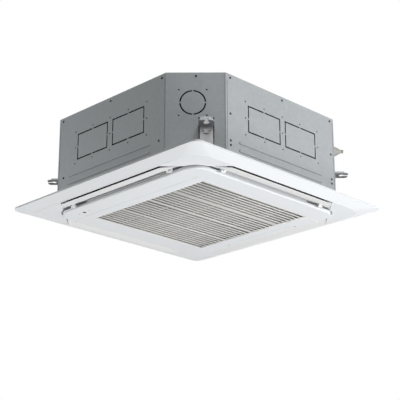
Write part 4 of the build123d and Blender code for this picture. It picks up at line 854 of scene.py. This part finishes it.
class CASSETTE_OT_stage(bpy.types.Operator):
    """Set up the camera, the lamps, the floor and the white surroundings"""

    bl_idname = "cassette.stage"
    bl_label = "Stage"

    def execute(self, context):
        scene = context.scene
        scene.view_settings.view_transform = "Standard"
        self.camera(scene)
        for lamp in LAMPS:
            self.lamp(scene, *lamp)
        self.surroundings(scene)
        self.floor(scene)
        return {"FINISHED"}

    @staticmethod
    def camera(scene):
        """The photograph's camera, solved from the straight edges in it."""
        camera = bpy.data.objects.new("camera", bpy.data.cameras.new("camera"))
        camera.data.lens = CAMERA_LENS
        camera.data.sensor_width = CAMERA_SENSOR
        camera.data.clip_end = CAMERA_REACH
        ahead = Vector((math.cos(CAMERA_PITCH) * math.cos(CAMERA_YAW),
                        math.cos(CAMERA_PITCH) * math.sin(CAMERA_YAW), math.sin(CAMERA_PITCH)))
        turn = ahead.to_track_quat("-Z", "Y").to_matrix().to_4x4() @ Matrix.Rotation(CAMERA_ROLL, 4, "Z")
        camera.matrix_world = Matrix.Translation(CAMERA_PLACE) @ turn
        scene.collection.objects.link(camera)
        scene.camera = camera

    @staticmethod
    def lamp(scene, name, at, aim, size, power):
        lamp = bpy.data.objects.new(name, bpy.data.lights.new(name, "AREA"))
        lamp.data.shape, lamp.data.size, lamp.data.energy = "SQUARE", size, power
        lamp.location = at
        lamp.rotation_mode = "QUATERNION"
        lamp.rotation_quaternion = (Vector(aim) - Vector(at)).to_track_quat("-Z", "Y")
        scene.collection.objects.link(lamp)

    @staticmethod
    def surroundings(scene):
        """White to the camera and in mirrors and glass, and a faint cool light on everything else."""
        world = bpy.data.worlds.new("studio")
        world.use_nodes = True
        scene.world = world
        tree = world.node_tree
        tree.nodes.clear()
        rays, seen, seen_or_through, ambient, white, mix, out = new_nodes(
            tree, "LightPath", "Math", "Math", "Background", "Background", "MixShader", "OutputWorld")
        seen.operation = seen_or_through.operation = "MAXIMUM"
        ambient.inputs["Color"].default_value = AMBIENT_COLOUR
        ambient.inputs["Strength"].default_value = AMBIENT_STRENGTH
        white.inputs["Color"].default_value = WHITE
        link_all(tree, (rays.outputs["Is Camera Ray"], seen.inputs[0]),
                 (rays.outputs["Is Glossy Ray"], seen.inputs[1]),
                 (seen.outputs[0], seen_or_through.inputs[0]),
                 (rays.outputs["Is Transmission Ray"], seen_or_through.inputs[1]),
                 (seen_or_through.outputs[0], mix.inputs[0]), (ambient.outputs[0], mix.inputs[1]),
                 (white.outputs[0], mix.inputs[2]), (mix.outputs[0], out.inputs[0]))

    @staticmethod
    def floor(scene):
        """Flat square of side 40 m well below the unit: white to the camera, pale grey to the light."""
        mesh = bpy.data.meshes.new("floor")
        mesh.from_pydata([(x * FLOOR_HALF, y * FLOOR_HALF, FLOOR_HEIGHT)
                          for x, y in ((-1, -1), (1, -1), (1, 1), (-1, 1))], [], [(0, 1, 2, 3)])
        floor = bpy.data.objects.new("floor", mesh)
        scene.collection.objects.link(floor)
        f = Finish("floor_white")
        mesh.materials.append(f.feed(colour=(FLOOR_GREY,) * 3, rough=0.9))
        rays, glow, mix = new_nodes(f.tree, "LightPath", "Emission", "MixShader")
        glow.inputs["Color"].default_value = WHITE
        out = next(n for n in f.tree.nodes if n.type == "OUTPUT_MATERIAL")
        link_all(f.tree, (rays.outputs["Is Camera Ray"], mix.inputs[0]), (f.shader.outputs[0], mix.inputs[1]),
                 (glow.outputs[0], mix.inputs[2]), (mix.outputs[0], out.inputs["Surface"]))


# ---- add-on --------------------------------------------------------------------------------------
class CASSETTE_PT_panel(bpy.types.Panel):
    """Finishes, sizes and pieces of the ceiling cassette"""

    bl_idname = "CASSETTE_PT_panel"
    bl_label = "Ceiling Cassette"
    bl_space_type = "VIEW_3D"
    bl_region_type = "UI"
    bl_category = "Cassette"

    def draw(self, context):
        layout = self.layout
        for group in (context.scene.cassette_finishes, context.scene.cassette_sizes):
            box = layout.box()
            for name in group.__annotations__:
                box.prop(group, name)
        for operator in OPERATORS:
            layout.operator(operator.bl_idname)


OPERATORS = (CASSETTE_OT_finishes, CASSETTE_OT_louvre, CASSETTE_OT_coil, CASSETTE_OT_filter,
             CASSETTE_OT_screws, CASSETTE_OT_fan, CASSETTE_OT_hose, CASSETTE_OT_stage)
CLASSES = (CassetteFinishes, CassetteSizes, *OPERATORS, CASSETTE_PT_panel)


def register():
    for one in CLASSES:
        bpy.utils.register_class(one)
    bpy.types.Scene.cassette_finishes = bpy.props.PointerProperty(type=CassetteFinishes)
    bpy.types.Scene.cassette_sizes = bpy.props.PointerProperty(type=CassetteSizes)


def unregister():
    del bpy.types.Scene.cassette_sizes
    del bpy.types.Scene.cassette_finishes
    for one in reversed(CLASSES):
        bpy.utils.unregister_class(one)


def main():
    register()
    for operator in OPERATORS:
        group, name = operator.bl_idname.split(".")
        getattr(getattr(bpy.ops, group), name)()


if __name__ == "__main__":
    main()
